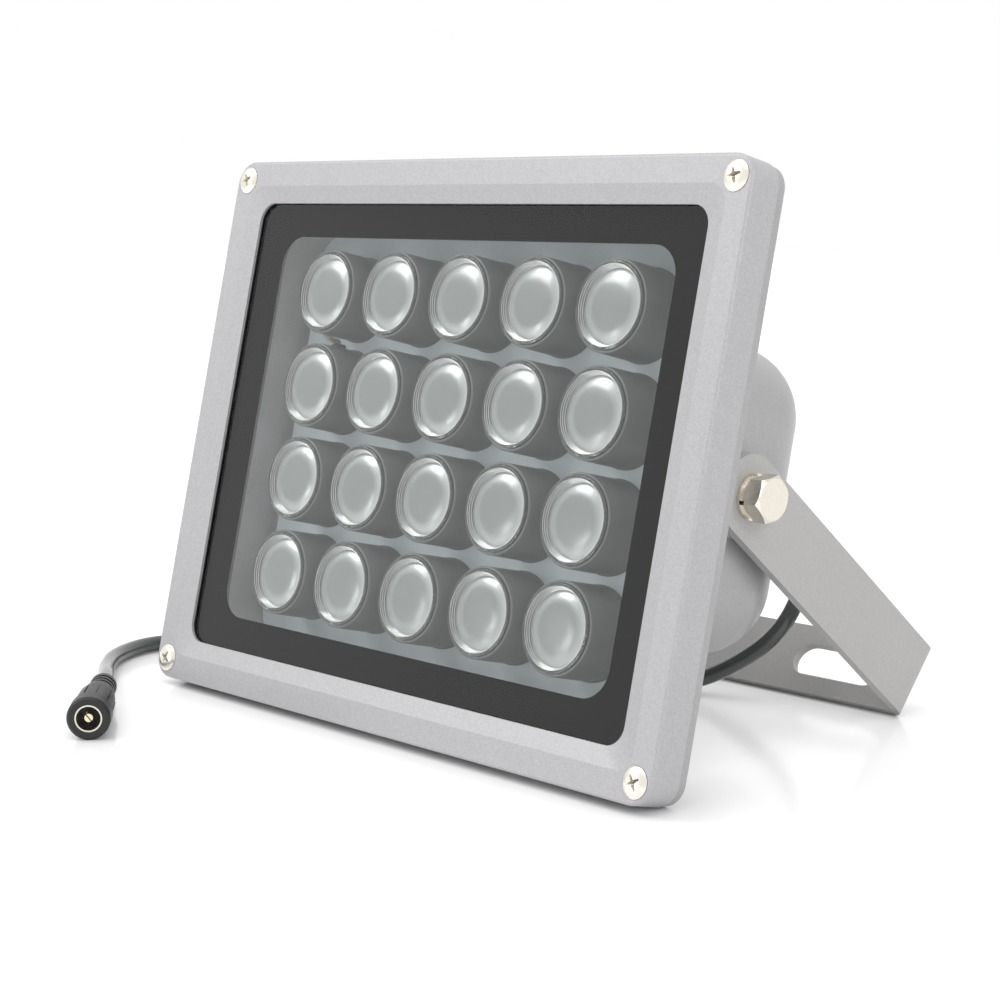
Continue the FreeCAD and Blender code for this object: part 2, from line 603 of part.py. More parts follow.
def feed_leads():
    """The two leads from the driver, side by side up through the board's hole and over to their pads."""
    pads = {"feed_lead_plus": (LEAD_SPREAD, PLUS_PAD_X, PLUS_PAD_Y),
            "feed_lead_minus": (-LEAD_SPREAD, MINUS_PAD_X, MINUS_PAD_Y)}
    solder_x = DRIVER_LEAD_INSET - DRIVER_WIDTH / 2
    for name, (shift, pad_x, pad_y) in pads.items():
        solder_y, hole_y = LEAD_HOLE_Y - LEAD_DROP + shift, LEAD_HOLE_Y + shift
        bend_z = BOARD_FRONT_Z + LEAD_BEND
        route = [Vector(solder_x, solder_y, DRIVER_FRONT_Z), Vector(solder_x, solder_y, DRIVER_FRONT_Z + LEAD_RISE),
                 Vector(LEAD_HOLE_X, hole_y, BOARD_BACK_Z - LEAD_ENTRY), Vector(LEAD_HOLE_X, hole_y, bend_z),
                 Vector(LEAD_HOLE_X + pad_x, LEAD_HOLE_Y + pad_y, bend_z),
                 Vector(LEAD_HOLE_X + pad_x, LEAD_HOLE_Y + pad_y, BOARD_FRONT_Z)]
        keep(name, tube(route, LEAD_R)[0])


# Bracket and pivot

def bracket_outline():
    """U profile of the strip, folded with round corners, in the x-z plane about the pivot."""
    def u_wire(inset, radius, top):
        half, low = ARM_OUTER_X - inset, -(ARM_LENGTH - inset)
        diagonal = radius * (1 - math.sqrt(0.5))
        points = [Vector(half, 0, top), Vector(half, 0, low + radius), Vector(half - radius, 0, low),
                  Vector(-half + radius, 0, low), Vector(-half, 0, low + radius), Vector(-half, 0, top)]
        right = Part.Arc(points[1], Vector(half - diagonal, 0, low + diagonal), points[2]).toShape()
        left = Part.Arc(points[3], Vector(-half + diagonal, 0, low + diagonal), points[4]).toShape()
        sides = [Part.LineSegment(points[k], points[k + 1]).toShape() for k in (0, 2, 4)]
        closing = Part.LineSegment(points[5], points[0]).toShape()
        return Part.Wire([sides[0], right, sides[1], left, sides[2], closing])
    outer = Part.Face(u_wire(0, FOLD_RADIUS, ARM_END_REACH))
    inner = Part.Face(u_wire(STRIP_THICK, FOLD_INNER_RADIUS, ARM_END_REACH))
    return outer.cut(inner)


def bracket_side_mask():
    """The strip's outline seen from the side: full width, rounded off past the pivot."""
    half, reach = STRIP_WIDTH / 2, ARM_END_REACH
    low = -ARM_LENGTH - 1
    diagonal = ARM_END_CORNER * (1 - math.sqrt(0.5))
    right_start, right_end = Vector(0, half, reach - ARM_END_CORNER), Vector(0, half - ARM_END_CORNER, reach)
    left_start, left_end = Vector(0, ARM_END_CORNER - half, reach), Vector(0, -half, reach - ARM_END_CORNER)
    edges = [Part.LineSegment(Vector(0, half, low), right_start).toShape(),
             Part.Arc(right_start, Vector(0, half - diagonal, reach - diagonal), right_end).toShape(),
             Part.LineSegment(right_end, left_start).toShape(),
             Part.Arc(left_start, Vector(0, diagonal - half, reach - diagonal), left_end).toShape(),
             Part.LineSegment(left_end, Vector(0, -half, low)).toShape(),
             Part.LineSegment(Vector(0, -half, low), Vector(0, half, low)).toShape()]
    mask = Part.Face(Part.Wire(edges)).extrude(Vector(BRACKET_WIDTH + 2, 0, 0))
    return at(mask, -ARM_OUTER_X - 1, 0)


def slot_cutter(x):
    """One long hole through the bracket's bar."""
    straight = SLOT_LENGTH / 2 - SLOT_WIDTH / 2
    low, high = -ARM_LENGTH - 1, -ARM_LENGTH + STRIP_THICK + 1
    middle = box_between((x - straight, -SLOT_WIDTH / 2, low), (x + straight, SLOT_WIDTH / 2, high))
    return middle.fuse(disc(SLOT_WIDTH / 2, low, high, x - straight)).fuse(disc(SLOT_WIDTH / 2, low, high, x + straight))


def to_pivot(shape):
    """Hangs a shape drawn about the pivot at the head's side, turned down by the bracket's drop."""
    moved = shape.copy()
    moved.Placement = Placement(Vector(0, 0, PIVOT_Z), Rotation(Vector(1, 0, 0), -BRACKET_DROP))
    return moved


def bracket():
    """Folded U bracket: two arms with round ends and pivot holes, and a bar with two slots."""
    strip = bracket_outline().extrude(Vector(0, STRIP_WIDTH, 0))
    body = at(strip, 0, -STRIP_WIDTH / 2).common(bracket_side_mask())
    hole = Part.makeCylinder(PIVOT_BOLT_R + PIVOT_HOLE_CLEARANCE, BRACKET_WIDTH + 2,
                             Vector(-ARM_OUTER_X - 1, 0, 0), Vector(1, 0, 0))
    body = body.cut(hole)
    for x in (-SLOT_SPACING / 2, SLOT_SPACING / 2):
        body = body.cut(slot_cutter(x))
    return keep("bracket", to_pivot(body))


def onto_side(shape, side):
    """Turns a piece drawn about Z so that its Z points out of one side of the head, at the pivot."""
    moved = shape.copy()
    moved.Placement = Placement(Vector(side * (ARM_OUTER_X + PIVOT_GAP), 0, PIVOT_Z),
                                Rotation(Vector(0, 1, 0), side * 90))
    return moved


def pivot_fasteners():
    """Hexagon bolts, spring washers and flat washers that clamp the arms."""
    flat = disc(FLAT_WASHER_R, 0, FLAT_WASHER_THICK).cut(disc(PIVOT_BOLT_R + HOLE_CLEARANCE, 0, FLAT_WASHER_THICK))
    spring_top = FLAT_WASHER_THICK + SPRING_WASHER_THICK
    spring = disc(SPRING_WASHER_R, FLAT_WASHER_THICK, spring_top)
    spring = spring.cut(disc(PIVOT_BOLT_R + HOLE_CLEARANCE, FLAT_WASHER_THICK, spring_top))
    slit = box_between((0, -SPRING_WASHER_SLIT / 2, FLAT_WASHER_THICK),
                       (SPRING_WASHER_R, SPRING_WASHER_SLIT / 2, spring_top))
    slit.rotate(Vector(0, 0, 0), Vector(0, 0, 1), SPRING_WASHER_SLIT_TURN)
    spring = spring.cut(slit)
    head_top = spring_top + BOLT_HEAD_THICK
    corner_r = BOLT_ACROSS_FLATS / math.sqrt(3)
    round_mask = lathe([(0, head_top), (0, spring_top), (corner_r, spring_top), (corner_r, head_top - BOLT_CHAMFER),
                        (BOLT_FACE_R, head_top)])
    head = hexagon(BOLT_ACROSS_FLATS, spring_top, head_top).common(round_mask)
    head.rotate(Vector(0, 0, 0), Vector(0, 0, 1), BOLT_TURN)
    bolt = head.fuse(disc(PIVOT_BOLT_R, -STRIP_THICK - BOLT_BITE, spring_top))
    for name, piece in (("pivot_bolts", bolt), ("spring_washers", spring), ("flat_washers", flat)):
        keep(name, Part.makeCompound([onto_side(piece, side) for side in (-1, 1)]))


# Cable gland

def gland():
    """Gland through the housing's back: body, inner nut, rubber seal and cap."""
    bore = CORD_R + CORD_CLEARANCE
    nut_front = BULGE_INNER_BACK_Z + GLAND_NUT_THICK
    neck_end = GLAND_CAP_Z - GLAND_NECK_LENGTH
    seal_end = -BULGE_BACK - GLAND_SEAL_SEAT
    body = disc(GLAND_THREAD_R, -BULGE_BACK, nut_front).fuse(hexagon(GLAND_ACROSS_FLATS, GLAND_FLANGE_Z, -BULGE_BACK))
    body = body.fuse(disc(GLAND_NECK_R, neck_end, GLAND_FLANGE_Z))
    body = body.cut(disc(bore, seal_end, nut_front)).cut(disc(GLAND_SEAL_R, neck_end, seal_end))
    seal = disc(GLAND_SEAL_R, neck_end, seal_end).cut(disc(CORD_R, neck_end, seal_end))
    nut = hexagon(GLAND_ACROSS_FLATS, BULGE_INNER_BACK_Z, nut_front)
    nut = nut.cut(disc(GLAND_THREAD_R, BULGE_INNER_BACK_Z, nut_front))
    dome_r = GLAND_ACROSS_FLATS / math.sqrt(3)
    round_mask = lathe([(0, GLAND_CAP_Z), (0, GLAND_TIP_Z), (GLAND_NOSE_R, GLAND_TIP_Z),
                        (GLAND_SHOULDER_R, GLAND_CAP_Z - GLAND_CAP_SHOULDER, dome_r, GLAND_CAP_Z - GLAND_CAP_STRAIGHT),
                        (dome_r, GLAND_CAP_Z), (0, GLAND_CAP_Z)])
    cap = hexagon(GLAND_ACROSS_FLATS, GLAND_TIP_Z, GLAND_CAP_Z).common(round_mask)
    cap = cap.cut(disc(GLAND_NECK_R, neck_end, GLAND_CAP_Z)).cut(disc(bore, GLAND_TIP_Z, neck_end))
    tail = disc(CORD_R, GLAND_TIP_Z, nut_front + CORD_TAIL_LENGTH)
    for name, piece in (("gland_body", body), ("gland_seal", seal), ("gland_locknut", nut), ("gland_cap", cap),
                        ("cord_tail", tail)):
        keep(name, at(piece, 0, GLAND_Y))


# From the head's drawing to the floor

def lean_angle():
    """How far the head leans back when its lower rear edge and the bracket's bar both rest on the floor."""
    drop = math.radians(BRACKET_DROP)
    half = STRIP_WIDTH / 2
    bar_y = -ARM_LENGTH * math.sin(drop) - half * math.cos(drop)
    bar_z = PIVOT_Z - ARM_LENGTH * math.cos(drop) + half * math.sin(drop)
    foot_y, foot_z = SEAM_STEP - FRAME_HALF_Y, FLANGE_BACK_Z
    return math.degrees(math.atan2(bar_y - foot_y, foot_z - bar_z))


def head_turn():
    """Rotation from the head's drawing to the standing pose."""
    return Rotation(Vector(1, 0, 0), 90 - lean_angle())


def floor_shift():
    """Move that puts the lower rear edge on the floor and the head and bracket over the origin."""
    turn = head_turn()
    foot = turn.multVec(Vector(0, SEAM_STEP - FRAME_HALF_Y, FLANGE_BACK_Z))
    drop = math.radians(BRACKET_DROP)
    half = STRIP_WIDTH / 2
    bar_corner = turn.multVec(Vector(0, half * math.cos(drop) - ARM_LENGTH * math.sin(drop),
                                     PIVOT_Z - ARM_LENGTH * math.cos(drop) - half * math.sin(drop)))
    head = [PIECES[name].copy() for name in ("front_frame", "frame_screws")]
    for shape in head:
        shape.Placement = Placement(Vector(0, 0, 0), turn).multiply(shape.Placement)
    front = min(shape.BoundBox.YMin for shape in head)
    return Vector(0, -(front + bar_corner.y) / 2, -foot.z)


def stand_up():
    """Leans every head and bracket piece back and stands it on the floor."""
    standing = Placement(floor_shift(), head_turn())
    for name, shape in PIECES.items():
        shape.Placement = standing.multiply(shape.Placement)
    return standing


# Cord and inline socket, drawn where they lie on the floor

def jack_axis():
    """Direction in which the socket's mouth faces, along the floor."""
    heading = math.radians(JACK_HEADING)
    return Vector(math.cos(heading), math.sin(heading), 0)


def lay_jack(shape):
    """Lays a socket piece, drawn about Z with its mouth at the top, on the floor."""
    turn = Rotation(Vector(0, 0, 1), jack_axis())
    face = Vector(JACK_FACE_X, JACK_FACE_Y, JACK_R + FLOOR_CLEARANCE)
    moved = shape.copy()
    moved.Placement = Placement(face, turn)
    return moved


def jack():
    """Inline socket: shell with grooved grip, ringed boot, metal sleeve, core and split pin."""
    collar_back = -JACK_COLLAR_LENGTH
    grip_back = collar_back - JACK_GRIP_LENGTH
    shoulder_back = grip_back - JACK_SHOULDER_LENGTH
    boot_back = -JACK_LENGTH
    shoulder_front_r, grip_front = JACK_SHOULDER_R + JACK_NECK_STEP, collar_back - JACK_GRIP_GAP
    shell = lathe([(0, 0), (0, shoulder_back), (JACK_SHOULDER_R, shoulder_back), (shoulder_front_r, grip_back),
                   (JACK_GRIP_BACK_R, grip_back), (JACK_GRIP_R, grip_front), (JACK_R, collar_back),
                   (JACK_R, -JACK_EDGE), (JACK_R - JACK_EDGE, 0), (0, 0)])
    shell = shell.cut(disc(SLEEVE_R + JACK_FIT, -SLEEVE_DEPTH, 0))
    for turn in range(JACK_GROOVES):
        groove = box_between((JACK_GRIP_R - JACK_GROOVE_DEPTH, -JACK_GROOVE_WIDTH / 2, grip_back),
                             (JACK_R + 1, JACK_GROOVE_WIDTH / 2, grip_front))
        groove.rotate(Vector(0, 0, 0), Vector(0, 0, 1), (turn + 0.5) * 360 / JACK_GROOVES)
        shell = shell.cut(groove)
    boot = disc(JACK_BOOT_R, boot_back, shoulder_back)
    ring_pitch = JACK_BOOT_LENGTH / (JACK_RINGS + 1)
    for number in range(1, JACK_RINGS + 1):
        middle = boot_back + number * ring_pitch
        groove = disc(JACK_BOOT_R + 1, middle - JACK_RING_GAP / 2, middle + JACK_RING_GAP / 2)
        boot = boot.cut(groove.cut(disc(JACK_BOOT_R - JACK_RING_DEPTH, boot_back, shoulder_back)))
    sleeve = disc(SLEEVE_R, -SLEEVE_DEPTH, 0).cut(disc(SLEEVE_R - SLEEVE_WALL, -SLEEVE_DEPTH, 0))
    core = disc(CORE_R, -SLEEVE_DEPTH, -SOCKET_DEPTH)
    pin = disc(PIN_R, -SOCKET_DEPTH, -PIN_RECESS)
    split = box_between((-PIN_R, -PIN_SPLIT / 2, -PIN_RECESS - PIN_SPLIT_DEPTH), (PIN_R, PIN_SPLIT / 2, 0))
    pin = pin.cut(split)
    for name, piece in (("jack_shell", shell), ("jack_boot", boot), ("jack_sleeve", sleeve), ("jack_core", core),
                        ("jack_pin", pin)):
        keep(name, lay_jack(piece))


def cord_route(standing):
    """The cord's route points: out of the gland, round behind the head, along the floor to the socket."""
    gland_tip = standing.multVec(Vector(0, GLAND_Y, GLAND_TIP_Z))
    outward = standing.Rotation.multVec(Vector(0, 0, -1))
    rest = CORD_R + FLOOR_CLEARANCE
    axis = jack_axis()
    tail = Vector(JACK_FACE_X, JACK_FACE_Y, JACK_R + FLOOR_CLEARANCE).sub(axis * JACK_LENGTH)
    return [gland_tip, gland_tip + outward * CORD_LEAD_OUT,
            Vector(6.2, 59.3, 36.2), Vector(19.6, 64.5, 38.4), Vector(33.1, 59.3, 37.4), Vector(39.7, 48.5, 30.2),
            Vector(37.9, 41.4, 17.6), Vector(26.7, 35.6, 7.9), Vector(15.4, 30.6, rest + 0.1), Vector(-8, 13.4, rest),
            Vector(-33, -6.6, rest), Vector(-62, -19.6, rest), Vector(-91, -20.6, rest), Vector(-115, -25.6, rest),
            Vector(-124.5, -40.6, rest), Vector(-117, -57.6, rest), Vector(-101, -70.6, rest + 0.6),
            tail - axis * CORD_BOOT_RUN, tail]


def supply_cord(standing):
    """The cord as a plain tube, with its length, radii and volume printed."""
    body, length, radii = tube(cord_route(standing), CORD_R)
    expected = math.pi * CORD_R ** 2 * length
    print(f"cord length {length:.1f} mm, volume {body.Volume:.0f}, section times length {expected:.0f}")
    print("cord radii " + " ".join(f"{radius:.0f}" for radius in radii))
    return keep("supply_cord", body)


def main():
    """Builds every piece, stands the head up, lays the cord and writes one file per piece."""
    front_frame()
    frame_screws()
    glazing()
    rear_housing()
    led_board()
    board_screws()
    emitters()
    optics()
    driver()
    feed_leads()
    bracket()
    pivot_fasteners()
    gland()
    standing = stand_up()
    supply_cord(standing)
    jack()
    print(f"lean {lean_angle():.2f} degrees, pivot {standing.multVec(Vector(0, 0, PIVOT_Z))}")
    os.makedirs("parts", exist_ok=True)
    for name, shape in PIECES.items():
        shape.exportStep(f"parts/{name}.step")
        if not shape.isValid() or shape.Volume <= 0:
            print(f"check {name}: valid {shape.isValid()}, volume {shape.Volume:.2f}")


main()
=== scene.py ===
import json
import logging
import math
from collections.abc import Sequence
from dataclasses import dataclass
from enum import Enum
from functools import cache

import bmesh
import bpy
from mathutils import Matrix, Vector


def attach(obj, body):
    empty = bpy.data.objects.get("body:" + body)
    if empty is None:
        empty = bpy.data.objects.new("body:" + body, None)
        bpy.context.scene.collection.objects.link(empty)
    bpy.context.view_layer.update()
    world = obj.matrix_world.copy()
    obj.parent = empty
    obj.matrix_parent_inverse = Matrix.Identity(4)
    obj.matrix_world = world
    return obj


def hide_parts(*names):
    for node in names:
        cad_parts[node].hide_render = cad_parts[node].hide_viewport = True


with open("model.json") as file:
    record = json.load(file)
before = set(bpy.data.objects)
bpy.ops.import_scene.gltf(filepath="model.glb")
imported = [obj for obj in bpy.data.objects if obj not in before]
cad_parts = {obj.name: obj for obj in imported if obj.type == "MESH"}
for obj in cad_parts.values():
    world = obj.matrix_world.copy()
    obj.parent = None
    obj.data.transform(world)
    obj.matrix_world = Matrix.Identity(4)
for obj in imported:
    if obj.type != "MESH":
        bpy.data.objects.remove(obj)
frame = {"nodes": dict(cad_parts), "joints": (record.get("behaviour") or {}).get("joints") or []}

MM = 0.001
WELD = 1e-7
log = logging.getLogger("illuminator")

Point = tuple[float, float]
Place = tuple[float, float, float]
Color = tuple[float, float, float]
Tree = bpy.types.NodeTree
Node = bpy.types.Node
Socket = bpy.types.NodeSocket
Mesh = bpy.types.Mesh
Material = bpy.types.Material
Piece = bpy.types.Object


class Body(Enum):
    """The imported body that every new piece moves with."""

    HEAD = "head"


class Spread(Enum):
    """How a surface's fine texture is laid out."""

    FLAKES = "flakes"
    GRAIN = "grain"
    MOTTLE = "mottle"


# Node building

def add_node(tree: Tree, kind: str, **values: object) -> Node:
    """Adds a node to a tree and sets it up.

    Args:
        tree: The node tree.
        kind: The node's type name.
        values: Settings of the node, or else input values by name with underscores for spaces.

    Returns:
        The new node.
    """
    node = tree.nodes.new(kind)
    for name, value in values.items():
        if name.islower() and hasattr(node, name):
            setattr(node, name, value)
        else:
            node.inputs[name.replace("_", " ")].default_value = value
    return node


def feed(tree: Tree, node: Node, *values: Socket | float | Color) -> Socket:
    """Feeds a node's first inputs, in their order.

    Args:
        tree: The node tree.
        node: The node.
        values: Outputs of other nodes, or plain values.

    Returns:
        The node's first output.
    """
    for target, value in zip(node.inputs, values):
        if isinstance(value, bpy.types.NodeSocket):
            tree.links.new(value, target)
        else:
            target.default_value = value
    return node.outputs[0]


def calculate(tree: Tree, operation: str, *values: Socket | float) -> Socket:
    """Adds a math node.

    Args:
        tree: The node tree.
        operation: What the node does with its inputs.
        values: Outputs of other nodes, or plain numbers.

    Returns:
        The result's output.
    """
    return feed(tree, add_node(tree, "ShaderNodeMath", operation=operation), *values)


# Shared textures

FLAKE_SHARE = 0.45


def flake_value(tree: Tree, place: Socket) -> Socket:
    """Metallic flakes: a random value for each small cell, softened by fine noise."""
    cells = add_node(tree, "ShaderNodeTexVoronoi", Scale=1.0)
    noise = add_node(tree, "ShaderNodeTexNoise", Scale=0.6, Detail=3.0)
    split = add_node(tree, "ShaderNodeSeparateColor")
    feed(tree, cells, place)
    feed(tree, noise, place)
    flakes = calculate(tree, "MULTIPLY", feed(tree, split, cells.outputs["Color"]), FLAKE_SHARE)
    return calculate(tree, "MULTIPLY_ADD", noise.outputs[0], 1 - FLAKE_SHARE, flakes)


def grain_value(tree: Tree, place: Socket) -> Socket:
    """Moulded grain: fine noise with a few octaves."""
    return feed(tree, add_node(tree, "ShaderNodeTexNoise", Scale=1.0, Detail=4.0, Roughness=0.65), place)


def mottle_value(tree: Tree, place: Socket) -> Socket:
    """Slow, soft variation over a surface."""
    return feed(tree, add_node(tree, "ShaderNodeTexNoise", Scale=1.0, Detail=2.0, Distortion=0.6), place)


BUILD_SPREAD = {Spread.FLAKES: flake_value, Spread.GRAIN: grain_value, Spread.MOTTLE: mottle_value}


@cache
def texture_group(spread: Spread) -> Tree:
    """The shared node group of a texture, built on its first use.

    Args:
        spread: Which texture.

    Returns:
        A group with Place, Size and Tint in, and Shade and Value out.
    """
    tree = bpy.data.node_groups.new(spread.value, "ShaderNodeTree")
    for name, kind in (("Place", "Vector"), ("Size", "Float"), ("Tint", "Float")):
        tree.interface.new_socket(name=name, in_out="INPUT", socket_type=f"NodeSocket{kind}")
    for name in ("Shade", "Value"):
        tree.interface.new_socket(name=name, in_out="OUTPUT", socket_type="NodeSocketFloat")
    source = tree.nodes.new("NodeGroupInput")
    result = tree.nodes.new("NodeGroupOutput")
    divide = add_node(tree, "ShaderNodeVectorMath", operation="DIVIDE")
    scaled = feed(tree, divide, source.outputs["Place"], source.outputs["Size"])
    value = BUILD_SPREAD[spread](tree, scaled)
    centred = calculate(tree, "SUBTRACT", value, 0.5)
    shade = calculate(tree, "MULTIPLY_ADD", centred, source.outputs["Tint"], 1.0)
    tree.links.new(shade, result.inputs["Shade"])
    tree.links.new(value, result.inputs["Value"])
    return tree


class Shader:
    """A material under construction, with short ways to add and join its nodes."""

    def __init__(self, name: str) -> None:
        """Starts a material with nothing but its output.

        Args:
            name: The material's name.
        """
        self.material = bpy.data.materials.new(name)
        self.material.use_nodes = True
        self.tree = self.material.node_tree
        self.tree.nodes.clear()
        self.output = self.add("ShaderNodeOutputMaterial")

    def add(self, kind: str, **values: object) -> Node:
        """Adds one node, set up as in add_node."""
        return add_node(self.tree, kind, **values)

    def join(self, source: Socket, target: Socket) -> None:
        """Links an output to an input."""
        self.tree.links.new(source, target)

    def calculate(self, operation: str, *values: Socket | float) -> Socket:
        """Adds one math node and gives its output, as calculate does."""
        return calculate(self.tree, operation, *values)

    def texture(self, spread: Spread, size_mm: float, tint: float) -> Node:
        """Adds a shared texture.

        Args:
            spread: Which texture.
            size_mm: The size of its pattern.
            tint: How much its shade varies.

        Returns:
            The group node, fed with Object coordinates.
        """
        node = self.add("ShaderNodeGroup", node_tree=texture_group(spread))
        node.inputs["Size"].default_value = size_mm * MM
        node.inputs["Tint"].default_value = tint
        coordinates = self.add("ShaderNodeTexCoord")
        self.join(coordinates.outputs["Object"], node.inputs["Place"])
        return node

    def scaled(self, color: Socket | Color, factor: Socket) -> Socket:
        """Scales a colour by a factor and gives the output."""
        node = self.add("ShaderNodeVectorMath", operation="SCALE")
        self.join(factor, node.inputs["Scale"])
        return feed(self.tree, node, color)

    def relief(self, surface: Node, texture: Node, roughness: float, change: float, bump_mm: float,
               strength: float) -> None:
        """Lets a texture vary a surface's roughness and raise its bumps.

        Args:
            surface: The surface's node.
            texture: The texture's group node.
            roughness: The middle roughness.
            change: How far the roughness varies in all.
            bump_mm: The bumps' height.
            strength: The bumps' strength.
        """
        rough = self.calculate("MULTIPLY_ADD", texture.outputs["Value"], change, roughness - change / 2)
        bump = self.add("ShaderNodeBump", Strength=strength, Distance=bump_mm * MM)
        self.join(texture.outputs["Value"], bump.inputs["Height"])
        self.join(rough, surface.inputs["Roughness"])
        self.join(bump.outputs[0], surface.inputs["Normal"])

    def complete(self, surface: Node) -> Material:
        """Joins the surface to the output and gives the material."""
        self.join(surface.outputs[0], self.output.inputs["Surface"])
        return self.material


# Finishes

@dataclass(frozen=True)
class Finish:
    """An opaque surface: colour, gloss and one fine texture over one slow variation."""

    name: str
    color: Color
    roughness: float = 0.5
    metallic: float = 0.0
    spread: Spread = Spread.GRAIN
    size_mm: float = 0.4
    tint: float = 0.08
    bump_mm: float = 0.02
    bump_strength: float = 0.6
    gloss_change: float = 0.12
    mottle_mm: float = 14.0
    mottle_tint: float = 0.05
    coat: float = 0.0
    coat_roughness: float = 0.15
    # How far the colour darkens where the mesh marks painted shade, 0 for none.
    painted_shade: float = 0.0
    specular: float = 0.5

    @cache
    def build(self) -> Material:
        """Builds the material, once only.

        Returns:
            The material.
        """
        shader = Shader(self.name)
        surface = shader.add("ShaderNodeBsdfPrincipled", Metallic=self.metallic, Coat_Weight=self.coat,
                             Coat_Roughness=self.coat_roughness, Specular_IOR_Level=self.specular)
        fine = shader.texture(self.spread, self.size_mm, self.tint)
        slow = shader.texture(Spread.MOTTLE, self.mottle_mm, self.mottle_tint)
        shade = shader.calculate("MULTIPLY", fine.outputs["Shade"], slow.outputs["Shade"])
        shader.join(shader.scaled(self.color, self.add_painted_shade(shader, shade)), surface.inputs["Base Color"])
        shader.relief(surface, fine, self.roughness, self.gloss_change, self.bump_mm, self.bump_strength)
        return shader.complete(surface)

    def add_painted_shade(self, shader: Shader, shade: Socket) -> Socket:
        """Darkens a shade where the mesh's points are marked, as painted shade.

        Args:
            shader: The material under construction.
            shade: The shade so far.

        Returns:
            The new shade, or the old one if the finish has no painted shade.
        """
        if not self.painted_shade:
            return shade
        mark = shader.add("ShaderNodeAttribute", attribute_name="painted_shade_mark")
        kept = shader.calculate("MULTIPLY_ADD", mark.outputs["Fac"], -self.painted_shade, 1.0)
        return shader.calculate("MULTIPLY", kept, shade)


@dataclass(frozen=True)
class GlassFinish:
    """Clear glass that bends what lies behind it and lets the lamps through to it."""

    name: str
    color: Color
    index: float = 1.5
    roughness: float = 0.0

    @cache
    def build(self) -> Material:
        """Builds the material, once only.

        Returns:
            The material.
        """
        shader = Shader(self.name)
        surface = shader.add("ShaderNodeBsdfPrincipled", Base_Color=(*self.color, 1.0), IOR=self.index,
                             Roughness=self.roughness, Transmission_Weight=1.0)
        clear = shader.add("ShaderNodeBsdfTransparent", Color=(*self.color, 1.0))
        path = shader.add("ShaderNodeLightPath")
        either = shader.calculate("MAXIMUM", path.outputs["Is Shadow Ray"], path.outputs["Is Diffuse Ray"])
        mix = shader.add("ShaderNodeMixShader")
        feed(shader.tree, mix, either, surface.outputs[0], clear.outputs[0])
        return shader.complete(mix)


@dataclass(frozen=True)
class PaintedLightLensFinish:
    """Frosted lens face: greyer in its middle and brighter towards its edge, where a painted reflection of the
    white surround lightens it.
    """

    name: str
    middle: Color = (0.225, 0.24, 0.234)
    # Painted reflection: the light colour towards the lens's edge.
    edge: Color = (0.68, 0.7, 0.69)
    edge_light_start: float = 0.58
    roughness: float = 0.26
    gloss_change: float = 0.12
    mirror: float = 0.15
    coat: float = 1.0
    coat_roughness: float = 0.14
    grain_mm: float = 0.25
    grain_tint: float = 0.25
    bump_mm: float = 0.03
    bump_strength: float = 0.5

    @cache
    def build(self) -> Material:
        """Builds the material, once only.

        Returns:
            The material.
        """
        shader = Shader(self.name)
        surface = shader.add("ShaderNodeBsdfPrincipled", Metallic=self.mirror, Coat_Weight=self.coat,
                             Coat_Roughness=self.coat_roughness)
        grain = shader.texture(Spread.GRAIN, self.grain_mm, self.grain_tint)
        color = shader.scaled(self.painted_edge_light(shader), grain.outputs["Shade"])
        shader.join(color, surface.inputs["Base Color"])
        shader.relief(surface, grain, self.roughness, self.gloss_change, self.bump_mm, self.bump_strength)
        return shader.complete(surface)

    def painted_edge_light(self, shader: Shader) -> Socket:
        """Blends the two colours by the mesh's stored distance from the lens's axis, so the painted reflection
        lightens the edge.

        Args:
            shader: The material under construction.

        Returns:
            The colour's output.
        """
        share = shader.add("ShaderNodeAttribute", attribute_name="share")
        ramp = shader.add("ShaderNodeMapRange", interpolation_type="SMOOTHSTEP")
        blend = shader.add("ShaderNodeMix", data_type="RGBA")
        low, high = (socket for socket in blend.inputs if socket.enabled and socket.name in ("A", "B"))
        low.default_value = (*self.middle, 1)
        high.default_value = (*self.edge, 1)
        feed(shader.tree, blend, feed(shader.tree, ramp, share.outputs["Fac"], self.edge_light_start, 1.0))
        return next(socket for socket in blend.outputs if socket.enabled)


AnyFinish = Finish | GlassFinish | PaintedLightLensFinish

CAST_PAINT = Finish(
    "cast_paint", (0.545, 0.535, 0.552), roughness=0.42, metallic=0.15, spread=Spread.FLAKES, size_mm=0.26,
    tint=0.38, bump_mm=0.014, gloss_change=0.16, mottle_mm=22, mottle_tint=0.03)
# The frame's paint darkened to 0.85 as painted shade for the rear housing, which lies in the frame's shadow.
HOUSING_PAINT_SHADED = Finish(
    "housing_paint_shaded", (0.46, 0.455, 0.463), roughness=0.34, metallic=0.15, spread=Spread.FLAKES, size_mm=0.26,
    tint=0.3, bump_mm=0.03, gloss_change=0.16, mottle_mm=9)
STRIP_PAINT = Finish(
    "strip_paint", (0.55, 0.542, 0.53), roughness=0.46, metallic=0.1, spread=Spread.FLAKES, size_mm=0.26,
    tint=0.26, bump_mm=0.01, mottle_mm=18, mottle_tint=0.04)
